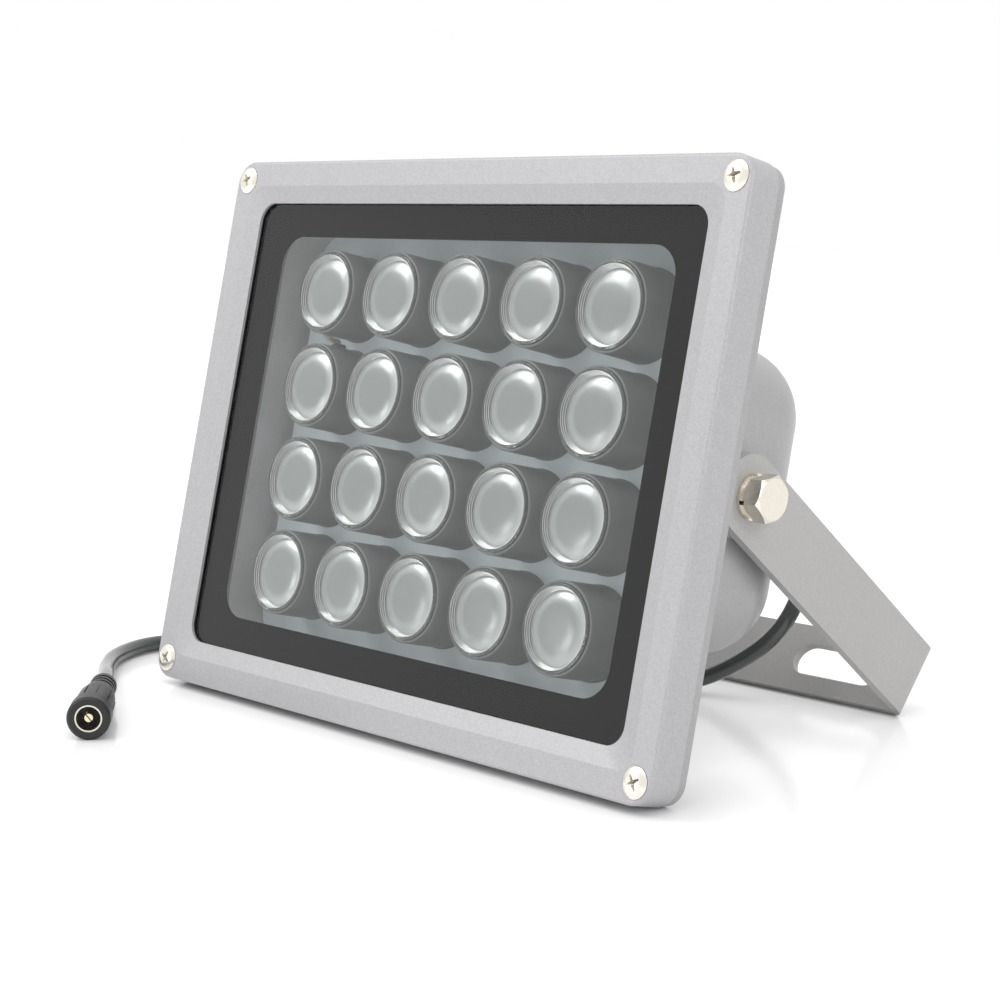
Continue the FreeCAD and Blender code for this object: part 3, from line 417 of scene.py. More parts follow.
# The marked cross recesses of the corner screws get painted shade in this finish.
SCREW_METAL = Finish(
    "screw_metal", (0.84, 0.81, 0.73), roughness=0.28, metallic=1.0, spread=Spread.MOTTLE, size_mm=1.2,
    tint=0.1, bump_mm=0.01, mottle_mm=3, mottle_tint=0.08, painted_shade=0.25)
BOLT_METAL = Finish(
    "bolt_metal", (0.72, 0.68, 0.6), roughness=0.26, metallic=1.0, spread=Spread.MOTTLE, size_mm=1.6,
    tint=0.1, mottle_mm=4, mottle_tint=0.06)
PIN_METAL = Finish(
    "pin_metal", (0.8, 0.71, 0.52), roughness=0.25, metallic=1.0, spread=Spread.MOTTLE, size_mm=0.6,
    tint=0.1, bump_mm=0.004)
PRINT_BLACK = Finish(
    "print_black", (0.006, 0.0065, 0.0055), roughness=0.9, size_mm=0.2, tint=0.05, bump_mm=0.0, specular=0.0)
SEAL_RUBBER = Finish("seal_rubber", (0.015, 0.015, 0.015), roughness=0.65, size_mm=0.3, tint=0.15)
BOARD_COAT = Finish(
    "board_coat", (0.84, 0.93, 0.98), roughness=0.35, spread=Spread.MOTTLE, size_mm=6, tint=0.06,
    bump_mm=0.01, gloss_change=0.1, mottle_mm=20, mottle_tint=0.06)
HOLDER_DARK = Finish(
    "holder_dark", (0.115, 0.124, 0.119), roughness=0.4, size_mm=0.25, tint=0.12, bump_mm=0.01,
    gloss_change=0.1, mottle_mm=5, mottle_tint=0.1)
EMITTER_BODY = Finish("emitter_body", (0.75, 0.75, 0.7), roughness=0.35, size_mm=0.2, tint=0.05, bump_mm=0.004)
DRIVER_COAT = Finish(
    "driver_coat", (0.03, 0.14, 0.05), roughness=0.4, spread=Spread.MOTTLE, size_mm=4, tint=0.1, bump_mm=0.01)
COIL_WIRE = Finish(
    "coil_wire", (0.42, 0.16, 0.05), roughness=0.3, metallic=0.7, size_mm=0.5, tint=0.2, bump_mm=0.08)
CAN_SLEEVE = Finish("can_sleeve", (0.03, 0.03, 0.04), roughness=0.3, tint=0.1, bump_mm=0.005)
CHIP_CASE = Finish("chip_case", (0.015, 0.015, 0.015), size_mm=0.1, tint=0.1, bump_mm=0.005)
LEAD_BEIGE = Finish("lead_beige", (0.38, 0.33, 0.26), bump_mm=0.01)
LEAD_BLACK = Finish("lead_black", (0.02, 0.02, 0.02), roughness=0.45, bump_mm=0.01)
GLAND_NYLON = Finish(
    "gland_nylon", (0.02, 0.02, 0.021), roughness=0.45, size_mm=0.2, tint=0.15, bump_mm=0.01)
CORD_SHEATH = Finish(
    "cord_sheath", (0.085, 0.094, 0.09), roughness=0.26, size_mm=0.5, tint=0.12, bump_mm=0.01,
    gloss_change=0.1, mottle_mm=20, mottle_tint=0.1, coat=0.4)
JACK_PLASTIC = Finish(
    "jack_plastic", (0.014, 0.015, 0.0155), roughness=0.42, size_mm=0.15, tint=0.2, bump_mm=0.015)
FRONT_CLEAR = GlassFinish("front_clear", (0.985, 0.998, 0.992))
LENS_CLEAR = GlassFinish("lens_clear", (0.96, 0.98, 0.97), index=1.49, roughness=0.04)
# Lens faces with a painted reflection brightening their edges.
LENS_FACE_PAINTED_LIGHT = PaintedLightLensFinish("lens_face")
# Near-white, mirror-like treads stand for the bright lines that light makes in clear steps, a painted
# highlight; the step walls get painted shade.
LENS_STEP_PAINTED_LIGHT = Finish(
    "lens_step_painted_light", (0.86, 0.88, 0.87), roughness=0.12, metallic=0.7, spread=Spread.MOTTLE, size_mm=1.5,
    tint=0.3, bump_mm=0.004, gloss_change=0.1, mottle_mm=3, mottle_tint=0.15, coat=0.8, painted_shade=0.82)

NODE_FINISH = {
    "front_frame": CAST_PAINT, "rear_housing": HOUSING_PAINT_SHADED, "bracket": STRIP_PAINT,
    "frame_screws": SCREW_METAL, "board_screws": SCREW_METAL, "driver_screws": SCREW_METAL,
    "pivot_bolts": BOLT_METAL, "spring_washers": BOLT_METAL, "flat_washers": BOLT_METAL,
    "front_glass": FRONT_CLEAR, "border_print": PRINT_BLACK,
    "glass_seal": SEAL_RUBBER, "housing_seal": SEAL_RUBBER, "gland_seal": SEAL_RUBBER,
    "led_board": BOARD_COAT, "led_emitters": EMITTER_BODY,
    "driver_board": DRIVER_COAT, "driver_coil": COIL_WIRE, "driver_capacitors": CAN_SLEEVE,
    "driver_chip": CHIP_CASE, "driver_spacers": BOLT_METAL,
    "feed_lead_plus": LEAD_BEIGE, "feed_lead_minus": LEAD_BLACK,
    "gland_body": GLAND_NYLON, "gland_cap": GLAND_NYLON, "gland_locknut": GLAND_NYLON,
    "cord_tail": CORD_SHEATH, "supply_cord": CORD_SHEATH,
    "jack_shell": JACK_PLASTIC, "jack_boot": JACK_PLASTIC, "jack_core": JACK_PLASTIC,
    "jack_sleeve": BOLT_METAL, "jack_pin": PIN_METAL,
}


# Mesh building

def mesh_from(built: bmesh.types.BMesh, name: str) -> Mesh:
    """Makes a mesh of a built shape and frees the shape."""
    mesh = bpy.data.meshes.new(name)
    built.to_mesh(mesh)
    built.free()
    return mesh


def lathe_mesh(name: str, profile: list[Point], steps: int) -> Mesh:
    """Turns a closed profile about Z.

    Args:
        name: The mesh's name.
        profile: Radius and height pairs in millimetres, in order round the section.
        steps: How many faces go round.

    Returns:
        The closed mesh.
    """
    built = bmesh.new()
    points = [built.verts.new((radius * MM, 0, height * MM)) for radius, height in profile]
    edges = [built.edges.new((points[index - 1], points[index])) for index in range(len(points))]
    bmesh.ops.spin(built, geom=points + edges, cent=(0, 0, 0), axis=(0, 0, 1), angle=math.tau, steps=steps,
                   use_merge=True)
    bmesh.ops.remove_doubles(built, verts=built.verts, dist=WELD)
    bmesh.ops.dissolve_degenerate(built, edges=built.edges, dist=WELD)
    bmesh.ops.recalc_face_normals(built, faces=built.faces)
    return mesh_from(built, name)


def rounded(points: list[Point], radii: Sequence[float], steps: int) -> list[Point]:
    """Rounds the corners of a closed outline.

    Args:
        points: The corners.
        radii: The round of each corner, 0 for a sharp one.
        steps: How many pieces an arc has.

    Returns:
        The outline with its arcs.
    """
    result = []
    for index, (point, radius) in enumerate(zip(points, radii)):
        if radius <= 0:
            result.append(point)
            continue
        corner = Vector(point)
        back = Vector(points[index - 1]) - corner
        ahead = Vector(points[(index + 1) % len(points)]) - corner
        half = back.angle(ahead) / 2
        reach = min(radius / math.tan(half), back.length * 0.49, ahead.length * 0.49)
        true_radius = reach * math.tan(half)
        bisector = (back.normalized() + ahead.normalized()).normalized()
        middle = corner + bisector * true_radius / math.sin(half)
        start = corner + back.normalized() * reach - middle
        end = corner + ahead.normalized() * reach - middle
        for step in range(steps + 1):
            spoke = start.slerp(end, step / steps).normalized() * true_radius
            result.append(tuple(middle + spoke))
    return result


def smooth(mesh: Mesh, angle: float = 35) -> None:
    """Shades a mesh smooth up to an angle, in degrees."""
    mesh.polygons.foreach_set("use_smooth", [True] * len(mesh.polygons))
    built = bmesh.new()
    built.from_mesh(mesh)
    for edge in built.edges:
        edge.smooth = len(edge.link_faces) == 2 and edge.calc_face_angle(0) < math.radians(angle)
    built.to_mesh(mesh)
    built.free()


def mark_share(mesh: Mesh, radius: float) -> None:
    """Stores each point's distance from the axis as a share of a radius, in millimetres."""
    shares = mesh.attributes.new("share", "FLOAT", "POINT")
    for point, share in zip(mesh.vertices, shares.data):
        share.value = math.hypot(point.co.x, point.co.y) / (radius * MM)


def mark_wall_shade(mesh: Mesh) -> None:
    """Stores how far each point's face turns away from the front, as the mask of painted shade on the lens's
    step walls.
    """
    marks = mesh.attributes.new("painted_shade_mark", "FLOAT", "POINT")
    for point, mark in zip(mesh.vertices, marks.data):
        mark.value = 1 - max(0.0, point.normal.z) ** 2


def stacked_mesh(name: str, layers: list[tuple[list[Point], float]], closed: bool) -> Mesh:
    """Joins outlines with as many points each, one above another.

    Args:
        name: The mesh's name.
        layers: Outline and height pairs in millimetres.
        closed: Whether the last joins the first, else both ends are capped.

    Returns:
        The closed mesh.
    """
    built = bmesh.new()
    loops = [[built.verts.new((x * MM, y * MM, height * MM)) for x, y in outline]
             for outline, height in layers]
    pairs = list(zip(loops, loops[1:]))
    if closed:
        pairs.append((loops[-1], loops[0]))
    else:
        built.faces.new(loops[0])
        built.faces.new(loops[-1])
    for loop, after in pairs:
        for index in range(len(loop)):
            built.faces.new((loop[index - 1], loop[index], after[index], after[index - 1]))
    bmesh.ops.recalc_face_normals(built, faces=built.faces)
    bmesh.ops.triangulate(built, faces=[face for face in built.faces if len(face.verts) > 4])
    return mesh_from(built, name)


def put_in_scene(name: str, data: bpy.types.ID) -> Piece:
    """Adds an object to the scene, at the origin."""
    piece = bpy.data.objects.new(name, data)
    bpy.context.scene.collection.objects.link(piece)
    return piece


def evaluated_mesh(piece: Piece) -> Mesh:
    """The plain mesh that a piece's modifiers make of it."""
    evaluated = piece.evaluated_get(bpy.context.evaluated_depsgraph_get())
    return bpy.data.meshes.new_from_object(evaluated)


def cut_away(mesh: Mesh, tool: Mesh) -> Mesh:
    """Cuts one closed mesh out of another.

    Args:
        mesh: What is cut.
        tool: What is taken away.

    Returns:
        The cut mesh.
    """
    body, cutter = (put_in_scene(data.name, data) for data in (mesh, tool))
    modifier = body.modifiers.new("cut", "BOOLEAN")
    modifier.operation = "DIFFERENCE"
    modifier.solver = "EXACT"
    modifier.object = cutter
    result = evaluated_mesh(body)
    for piece in (body, cutter):
        bpy.data.objects.remove(piece)
    return result


def new_object(name: str, mesh: Mesh, finish: AnyFinish, place: Matrix) -> Piece:
    """Puts a mesh in the scene with its place in the mesh.

    Args:
        name: The piece's name.
        mesh: Its mesh.
        finish: Its finish.
        place: The move from the drawing to the part's frame.

    Returns:
        The object, at the origin.
    """
    mesh.transform(place)
    mesh.materials.clear()
    mesh.materials.append(finish.build())
    return put_in_scene(name, mesh)


# Repeats

@cache
def grid_tree() -> Tree:
    """The geometry tree that all grids share: copies on a grid, each turned by chance.

    Returns:
        The tree.
    """
    tree = bpy.data.node_groups.new("grid_repeat", "GeometryNodeTree")
    for name, kind in (("Geometry", "Geometry"), ("Columns", "Int"), ("Rows", "Int"), ("Width", "Float"),
                       ("Height", "Float"), ("Turn", "Float"), ("Seed", "Int"), ("Finish", "Material")):
        tree.interface.new_socket(name=name, in_out="INPUT", socket_type=f"NodeSocket{kind}")
    tree.interface.new_socket(name="Geometry", in_out="OUTPUT", socket_type="NodeSocketGeometry")
    source, result = tree.nodes.new("NodeGroupInput"), tree.nodes.new("NodeGroupOutput")
    grid = tree.nodes.new("GeometryNodeMeshGrid")
    place = tree.nodes.new("GeometryNodeInstanceOnPoints")
    chance = add_node(tree, "FunctionNodeRandomValue", data_type="FLOAT")
    angles = tree.nodes.new("ShaderNodeCombineXYZ")
    real = tree.nodes.new("GeometryNodeRealizeInstances")
    dress = tree.nodes.new("GeometryNodeSetMaterial")
    low, high, seed = (socket for socket in chance.inputs
                       if socket.enabled and socket.name in ("Min", "Max", "Seed"))
    low.default_value = 0.0
    turned = next(socket for socket in chance.outputs if socket.enabled)
    for start, end in ((source.outputs["Columns"], grid.inputs["Vertices X"]),
                       (source.outputs["Rows"], grid.inputs["Vertices Y"]),
                       (source.outputs["Width"], grid.inputs["Size X"]),
                       (source.outputs["Height"], grid.inputs["Size Y"]),
                       (source.outputs["Turn"], high),
                       (source.outputs["Seed"], seed),
                       (turned, angles.inputs["Z"]),
                       (grid.outputs["Mesh"], place.inputs["Points"]),
                       (source.outputs["Geometry"], place.inputs["Instance"]),
                       (angles.outputs[0], place.inputs["Rotation"]),
                       (place.outputs[0], real.inputs[0]),
                       (real.outputs[0], dress.inputs["Geometry"]),
                       (source.outputs["Finish"], dress.inputs["Material"]),
                       (dress.outputs[0], result.inputs[0])):
        tree.links.new(start, end)
    return tree


@dataclass
class GridRepeat:
    """Copies of one piece on a centred grid, each turned at random about its own axis."""

    columns: int
    rows: int
    pitch_x_mm: float
    pitch_y_mm: float
    turn: float = math.tau
    seed: int = 3

    def build(self, name: str, mesh: Mesh, finish: AnyFinish, place: Matrix) -> Piece:
        """Repeats a mesh over the grid and leaves one plain mesh.

        Args:
            name: The piece's name.
            mesh: What is repeated, drawn about its own axis.
            finish: Its finish.
            place: The move from the drawing to the part's frame.

        Returns:
            The finished object.
        """
        pattern = put_in_scene(name + "_one", mesh)
        modifier = pattern.modifiers.new("repeat", "NODES")
        modifier.node_group = grid_tree()
        values = {"Columns": self.columns, "Rows": self.rows,
                  "Width": (self.columns - 1) * self.pitch_x_mm * MM,
                  "Height": (self.rows - 1) * self.pitch_y_mm * MM,
                  "Turn": self.turn, "Seed": self.seed, "Finish": finish.build()}
        sockets = {item.name: item.identifier for item in modifier.node_group.interface.items_tree
                   if item.in_out == "INPUT"}
        for socket, value in values.items():
            modifier[sockets[socket]] = value
        result = evaluated_mesh(pattern)
        pattern.modifiers.remove(modifier)
        bpy.data.objects.remove(pattern)
        return new_object(name, result, finish, place)


# The lamp's sub-assemblies

@dataclass
class HeadPlace:
    """Where the lamp head stands: it leans back about the bracket's pivot."""

    lean_degrees: float = 13.04
    pivot_depth_mm: float = 40.0

    def matrix(self) -> Matrix:
        """The move from the head's drawing, z out of its front, to the part's frame."""
        turn = Matrix.Rotation(math.radians(90 - self.lean_degrees), 4, "X")
        pivot = Vector(frame["joints"][0]["pos_m"])
        return Matrix.Translation(pivot) @ turn @ Matrix.Translation((0, 0, self.pivot_depth_mm * MM))


@dataclass
class Optics:
    """Twenty clear lenses in dark holders on the emitter board, in millimetres from the front panel."""

    columns: int = 5
    rows: int = 4
    pitch_x: float = 25.26
    pitch_y: float = 24.12
    rim_z: float = -5.6
    rim_radius: float = 10.16
    rim_height: float = 2.6
    rim_gap: float = 0.02
    rim_rounds: tuple[float, ...] = (0.05, 0.1, 0.2, 0.06)
    face_radius: float = 8.9
    face_drop: float = 1.6
    face_thick: float = 1.2
    face_draft: float = 0.3
    face_land: float = 0.2
    face_edge: float = 0.15
    crown: float = 1.0
    crown_pieces: int = 16
    stair_count: int = 3
    stair_width: float = 0.52
    stair_lift: float = 0.03
    stair_rounds: tuple[float, float, float] = (0.08, 0.13, 0.04)
    holder_radius: float = 10.9
    holder_draft: float = 0.1
    holder_drop: float = 0.5
    holder_bore: float = 9.75
    holder_gap: float = 0.05
    holder_rounds: tuple[float, ...] = (0, 0, 0.4, 0.3, 0.25, 0.1, 0, 0)
    foot_radius: float = 11.1
    foot_thick: float = 0.6
    board_z: float = -18.6
    arc_steps: int = 3
    steps: int = 72

    def crown_profile(self, radius: float, low: float) -> list[Point]:
        """Pillow-shaped crown from its edge up to the axis, flat in its middle.

        Args:
            radius: The crown's radius.
            low: The height of its edge.

        Returns:
            The profile's points.
        """
        shares = [1 - step / self.crown_pieces for step in range(self.crown_pieces + 1)]
        return [(radius * share, low + self.crown * (1 - share ** 4)) for share in shares]

    def turned(self, name: str, profile: list[Point]) -> Mesh:
        """Turns one lens or holder profile."""
        return lathe_mesh(name, profile, self.steps)

    def face_mesh(self) -> Mesh:
        """The frosted, gently crowned face of one lens."""
        face = self.rim_z - self.face_drop
        under = face - self.face_thick
        profile = [(0.0, under), (self.face_radius - self.face_draft, under),
                   (self.face_radius, face - self.face_land)]
        mesh = self.turned("lens_face", profile + self.crown_profile(self.face_radius - self.face_edge, face))
        mark_share(mesh, self.face_radius)
        smooth(mesh)
        return mesh

    def rim_mesh(self) -> Mesh:
        """The clear flange of one lens."""
        rim, seat = self.rim_z, self.rim_z - self.rim_height
        inner = self.face_radius + self.stair_width + self.rim_gap
        corners = [(inner, seat), (self.rim_radius, seat), (self.rim_radius, rim), (inner, rim)]
        mesh = self.turned("lens_rim", rounded(corners, self.rim_rounds, self.arc_steps))
        smooth(mesh)
        return mesh

    def stair_mesh(self) -> Mesh:
        """The fine steps of one lens from its flange down to its face."""
        rim, seat = self.rim_z + self.stair_lift, self.rim_z - self.rim_height
        outer, foot = self.face_radius + self.stair_width, self.face_radius - self.face_draft
        tread, drop = self.stair_width / self.stair_count, self.face_drop / self.stair_count
        top_round, nose_round, foot_round = self.stair_rounds
        corners, radii = [(outer, seat), (outer, rim)], [0.0, top_round]
        for step in range(self.stair_count):
            radius = outer - (step + 1) * tread
            corners += [(radius, rim - step * drop), (radius, rim - (step + 1) * drop)]
            radii += [nose_round, foot_round]
        corners += [(foot, rim - self.face_drop), (foot, seat)]
        mesh = self.turned("lens_stair", rounded(corners, radii + [0.0, 0.0], self.arc_steps))
        mark_wall_shade(mesh)
        smooth(mesh)
        return mesh

    def holder_mesh(self) -> Mesh:
        """One holder: tube with a rounded mouth, a stepped seat and a wider foot."""
        front, seat = self.rim_z - self.holder_drop, self.rim_z - self.rim_height
        foot, mouth = self.board_z + self.foot_thick, self.rim_radius + self.holder_gap
        corners = [(self.holder_bore, self.board_z), (self.foot_radius, self.board_z),
                   (self.foot_radius, foot), (self.holder_radius, foot),
                   (self.holder_radius - self.holder_draft, front), (mouth, front), (mouth, seat),
                   (self.holder_bore, seat)]
        mesh = self.turned("lens_holder", rounded(corners, self.holder_rounds, self.arc_steps))
        smooth(mesh)
        return mesh

    def build(self, place: Matrix) -> None:
        """Builds and places faces, rims, holders and steps.

        Args:
            place: The move from the head's drawing to the part's frame.
        """
        grid = GridRepeat(self.columns, self.rows, self.pitch_x, self.pitch_y)
        faces = grid.build("lens_faces", self.face_mesh(), LENS_FACE_PAINTED_LIGHT, place)
        rims = grid.build("lens_rims", self.rim_mesh(), LENS_CLEAR, place)
        holders = grid.build("lens_holder_tubes", self.holder_mesh(), HOLDER_DARK, place)
        stairs = grid.build("lens_stairs", self.stair_mesh(), LENS_STEP_PAINTED_LIGHT, place)
        rows, columns = range(1, self.rows + 1), range(1, self.columns + 1)
        for piece in (faces, rims, stairs, holders):
            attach(piece, Body.HEAD.value)
        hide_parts(*[f"lens_{row}_{column}" for row in rows for column in columns])
        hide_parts(*[f"lens_holders_row_{row}" for row in rows])
        log.info("optics: %d lenses in holders", self.columns * self.rows)


@dataclass
class FrameScrews:
    """Four raised countersunk screws with flared cross recesses, darkened inside by painted shade, in
    millimetres from the front panel.
    """

    spacing_x: float = 170.6
    spacing_y: float = 128.0
    head_radius: float = 3.5
    head_rise: float = 0.9
    head_sink: float = 0.05
    rim_height: float = 0.12
    cone_depth: float = 1.8
    shank_radius: float = 1.9
    length: float = 10.6
    crown_shares: tuple[float, ...] = (0.97, 0.9, 0.8, 0.65, 0.5, 0.35, 0.2, 0.0)
    steps: int = 48
    arm_reach: float = 1.95
    arm_width: float = 0.5
    heart_reach: float = 0.68
    recess_depth: float = 1.7
    recess_over: float = 0.2
    recess_flare: float = 1.08
    recess_taper: float = 0.32
    shade_mark_low: float = -1.6
    shade_mark_high: float = 0.3
    smooth_angle: float = 28
    seed: int = 766

    def head_mesh(self) -> Mesh:
        """The screw before its recess is cut."""
        crown = self.head_rise - self.rim_height
        profile = [(0.0, -self.length), (self.shank_radius, -self.length),
                   (self.shank_radius, -self.cone_depth), (self.head_radius, -self.head_sink),
                   (self.head_radius, self.rim_height)]
        profile += [(self.head_radius * share, self.head_rise - crown * share ** 4)
                    for share in self.crown_shares]
        return lathe_mesh("frame_screw", profile, self.steps)

    def mark_recess_shade(self, mesh: Mesh) -> None:
        """Stores which points lie down in the recess, where painted shade darkens the metal."""
        marks = mesh.attributes.new("painted_shade_mark", "FLOAT", "POINT")
        for point, mark in zip(mesh.vertices, marks.data):
            near = math.hypot(point.co.x, point.co.y) < self.arm_reach * MM
            mark.value = float(near and self.shade_mark_low * MM < point.co.z < self.shade_mark_high * MM)

    def cross(self, scale: float) -> list[Point]:
        """The recess's outline at one depth."""
        heart = self.heart_reach * math.sqrt(0.5)
        corners = ((self.arm_reach, -self.arm_width / 2), (self.arm_reach, self.arm_width / 2), (heart, heart))
        points = []
        for quarter in range(4):
            turn = Matrix.Rotation(quarter * math.pi / 2, 2)
            points += [tuple(turn @ Vector(corner) * scale) for corner in corners]
        return points

    def build(self, place: Matrix) -> None:
        """Builds one screw and repeats it at the panel's corners.

        Args:
            place: The move from the head's drawing to the part's frame.
        """
        top = self.head_rise + self.recess_over
        bottom = top - self.recess_depth
        layers = [(self.cross(self.recess_flare), top), (self.cross(self.recess_taper), bottom)]
        mesh = cut_away(self.head_mesh(), stacked_mesh("recess", layers, closed=False))
        self.mark_recess_shade(mesh)
        smooth(mesh, self.smooth_angle)
        grid = GridRepeat(2, 2, self.spacing_x, self.spacing_y, seed=self.seed)
        screws = grid.build("corner_screws", mesh, SCREW_METAL, place)
        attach(screws, Body.HEAD.value)
        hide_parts("frame_screws")
        log.info("frame screws: 4")


@dataclass
class BorderPrint:
    """The dark print on the glass's back, sunk a hair into it as ink that wets it, in millimetres."""

    outer_x: float = 82.6
    outer_y: float = 61.95
    outer_corner: float = 5.8
    window_x: float = 69.45
    window_y: float = 49.85
    window_corner: float = 7.5
    arc_steps: int = 12
    glass_back: float = -5.1
    sunk: float = 0.03
    thick: float = 0.06

    def outline(self, half_x: float, half_y: float, corner: float) -> list[Point]:
        """A centred rectangle with round corners."""
        corners = [(half_x, half_y), (-half_x, half_y), (-half_x, -half_y), (half_x, -half_y)]
        return rounded(corners, [corner] * 4, self.arc_steps)

    def build(self, place: Matrix) -> None:
        """Builds the print as a thin ring.

        Args:
            place: The move from the head's drawing to the part's frame.
        """
        outer = self.outline(self.outer_x, self.outer_y, self.outer_corner)
        inner = self.outline(self.window_x, self.window_y, self.window_corner)
        high = self.glass_back + self.sunk
        low = high - self.thick
        layers = [(outer, low), (outer, high), (inner, high), (inner, low)]
        ink = new_object("border_ink", stacked_mesh("border_ink", layers, closed=True), PRINT_BLACK, place)
        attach(ink, Body.HEAD.value)
        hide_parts("border_print")
        log.info("border print: one ring")


@dataclass
class SupplyCord:
    """The cord from the gland round behind the head to the inline socket, route in millimetres."""

    diameter: float = 4.2
    length: float = 344.8
    route: tuple[Place, ...] = (
        (0, 33.48, 38.4), (0, 46.15, 35.47), (6.2, 59.3, 36.2), (19.6, 64.5, 38.4), (33.1, 59.3, 37.4),
        (39.7, 48.5, 30.2), (37.9, 41.4, 17.6), (26.7, 35.6, 7.9), (15.4, 30.6, 2.3), (-8, 13.4, 2.2),
        (-33, -6.6, 2.2), (-62, -19.6, 2.2), (-91, -20.6, 2.2), (-115, -25.6, 2.2), (-124.5, -40.6, 2.2),
        (-117, -57.6, 2.2), (-101, -70.6, 2.8), (-81.52, -82.41, 5.3), (-73.67, -88.61, 5.3))
    socket_nodes: tuple[str, ...] = ("jack_shell", "jack_boot", "jack_sleeve", "jack_core", "jack_pin")

    def curve(self) -> bpy.types.Curve:
        """One smooth round curve along the route."""
        curve = bpy.data.curves.new("cord_run", "CURVE")
        curve.dimensions = "3D"
        spline = curve.splines.new("NURBS")
        spline.points.add(len(self.route) - 1)
        for point, place in zip(spline.points, self.route):
            point.co = (*(Vector(place) * MM), 1)
        spline.order_u = 3
        spline.use_endpoint_u = True
        spline.resolution_u = 12
        curve.bevel_depth = self.diameter / 2 * MM
        curve.bevel_resolution = 8
        curve.materials.append(CORD_SHEATH.build())
        return curve

    def build(self) -> None:
        piece = put_in_scene("cord_run", self.curve())
        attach(piece, Body.HEAD.value)
        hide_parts("supply_cord")
        log.info("cord: %.0f mm", self.length)


# Camera, floor and light

@dataclass
class PhotoCamera:
    """The photograph's camera, in millimetres and degrees."""

    place: Place = (390.02, -380.46, 126.66)
    azimuth: float = 47.313
    elevation: float = 7.827
    lens: float = 78.66
    sensor: float = 36.0
    near_metres: float = 0.01

    def build(self) -> None:
        """Creates the camera and makes it the scene's own."""
        data = bpy.data.cameras.new("photo_camera")
        data.lens = self.lens
        data.sensor_width = self.sensor
        data.clip_start = self.near_metres
        camera = put_in_scene("photo_camera", data)
        camera.location = Vector(self.place) * MM
        camera.rotation_euler = (math.radians(90 - self.elevation), 0, math.radians(self.azimuth))
        bpy.context.scene.camera = camera


@dataclass(frozen=True)
class Lamp:
    """A square soft lamp that faces the object: place and width in metres, power in watts."""

    name: str
    place: Place
    width: float
    power: float
    aim: Place = (0, 0, 0.06)

    def build(self) -> None:
        """Hangs the lamp."""
        data = bpy.data.lights.new(self.name, "AREA")
        data.size = self.width
        data.energy = self.power
        lamp = put_in_scene(self.name, data)
        lamp.location = self.place
        towards = Vector(self.aim) - Vector(self.place)
        lamp.rotation_euler = towards.to_track_quat("-Z", "Y").to_euler()


LAMPS = (
    Lamp("overhead", (-0.1, -0.25, 1.3), width=1.1, power=4.5),
    Lamp("front_left", (-1.1, -1.0, 1.1), width=0.6, power=6.5),
    Lamp("right", (1.3, -0.2, 0.7), width=0.9, power=4.6),
    Lamp("front_low", (-0.62, -0.95, 0.12), width=0.16, power=0.4),
)


def seen_rays(tree: Tree) -> Socket:
    """A mask of the rays that should see plain white: camera, glossy and transmission rays.

    Args:
        tree: The material's or the world's node tree.

    Returns:
        The mask's output.
    """
    path = tree.nodes.new("ShaderNodeLightPath")
    direct = calculate(tree, "MAXIMUM", path.outputs["Is Camera Ray"], path.outputs["Is Glossy Ray"])
    return calculate(tree, "MAXIMUM", direct, path.outputs["Is Transmission Ray"])


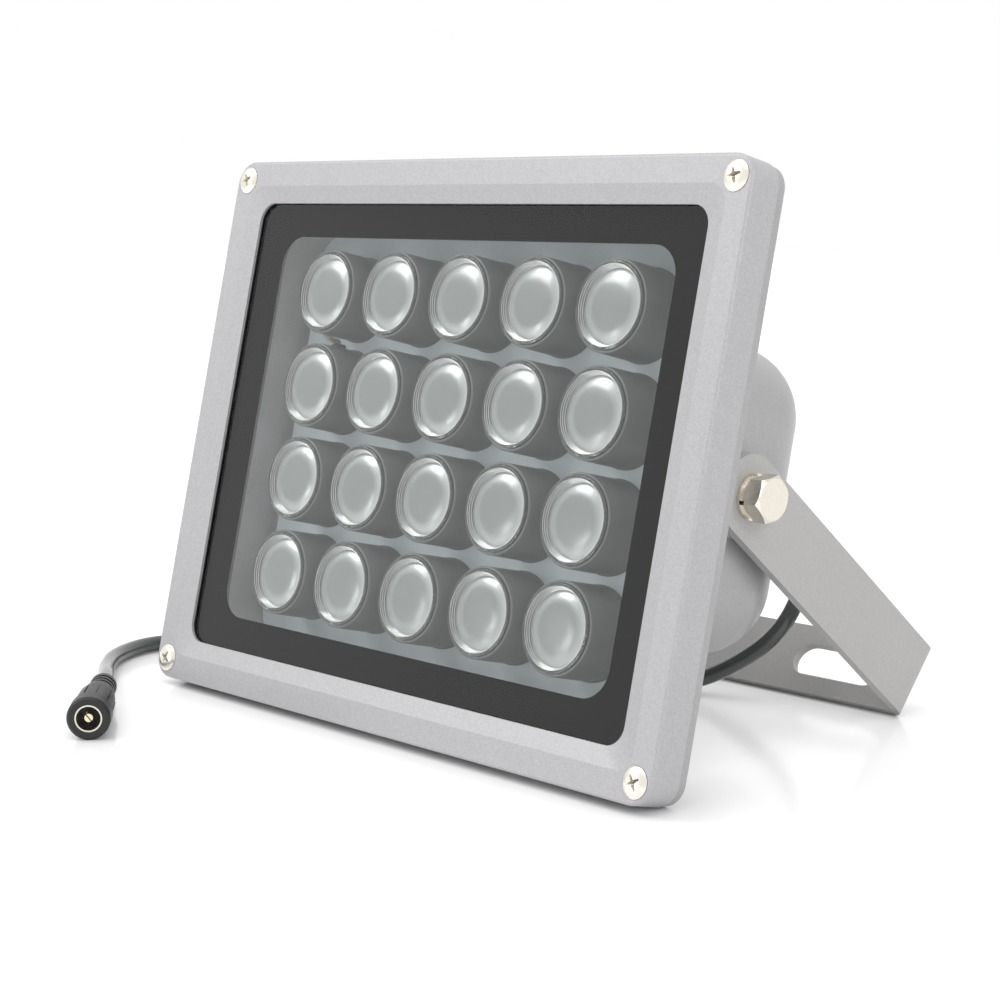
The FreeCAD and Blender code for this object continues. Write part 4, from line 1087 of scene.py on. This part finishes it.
@dataclass
class Studio:
    """White glossy floor, white surround and soft lamps, in metres."""

    floor_half: float = 4.0
    floor_color: Color = (0.86, 0.86, 0.865)
    floor_roughness: float = 0.16
    floor_glow: float = 0.4
    painted_shadow_reach: float = 0.03
    painted_shadow_samples: int = 16
    ambient: float = 0.58

    def floor_finish(self) -> Material:
        """White with a weak glow that fades close to the object: ambient occlusion dims the glow there, a
        painted contact shadow.

        Returns:
            The material.
        """
        shader = Shader("studio_floor")
        surface = shader.add("ShaderNodeBsdfPrincipled", Base_Color=(*self.floor_color, 1),
                             Roughness=self.floor_roughness, Emission_Color=(1, 1, 1, 1))
        # Painted contact shadow: ambient occlusion dims the floor's glow near the object.
        painted_contact_shadow = shader.add("ShaderNodeAmbientOcclusion", samples=self.painted_shadow_samples,
                                Distance=self.painted_shadow_reach)
        glow = shader.calculate("MULTIPLY", seen_rays(shader.tree), self.floor_glow)
        glow_with_painted_shadow = shader.calculate("MULTIPLY", glow, painted_contact_shadow.outputs["AO"])
        shader.join(glow_with_painted_shadow, surface.inputs["Emission Strength"])
        return shader.complete(surface)

    def build_floor(self) -> None:
        """Lays the floor: white, faintly mirror-like, with the object's soft shadow, partly cast by the lamps
        and partly a painted contact shadow.
        """
        built = bmesh.new()
        bmesh.ops.create_grid(built, x_segments=1, y_segments=1, size=self.floor_half)
        mesh = mesh_from(built, "studio_floor")
        mesh.materials.append(self.floor_finish())
        floor = put_in_scene("studio_floor", mesh)

    def build_world(self) -> None:
        """White surround: full white to the eye, softer as a light."""
        world = bpy.data.worlds.new("studio")
        world.use_nodes = True
        tree = world.node_tree
        tree.nodes.clear()
        level = calculate(tree, "MULTIPLY_ADD", seen_rays(tree), 1 - self.ambient, self.ambient)
        back = add_node(tree, "ShaderNodeBackground", Color=(1, 1, 1, 1))
        output = tree.nodes.new("ShaderNodeOutputWorld")
        tree.links.new(level, back.inputs["Strength"])
        tree.links.new(back.outputs[0], output.inputs["Surface"])
        bpy.context.scene.world = world

    def build(self) -> None:
        """Builds floor, surround and lamps."""
        self.build_floor()
        self.build_world()
        for lamp in LAMPS:
            lamp.build()
        bpy.context.scene.view_settings.view_transform = "Standard"


def dress_frame() -> None:
    """Gives every CAD node its finish. The lenses and holders, which finer pieces replace, are clear."""
    for name, piece in frame["nodes"].items():
        piece.data.materials.clear()
        piece.data.materials.append(NODE_FINISH.get(name, LENS_CLEAR).build())
    log.info("dressed %d nodes", len(frame["nodes"]))


def main() -> None:
    """Builds the camera, the cord, the pieces and the studio in turn."""
    logging.basicConfig(level=logging.INFO, format="%(message)s")
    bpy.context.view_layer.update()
    PhotoCamera().build()
    SupplyCord().build()
    dress_frame()
    place = HeadPlace().matrix()
    Optics().build(place)
    FrameScrews().build(place)
    BorderPrint().build(place)
    Studio().build()


if __name__ == "__main__":
    main()
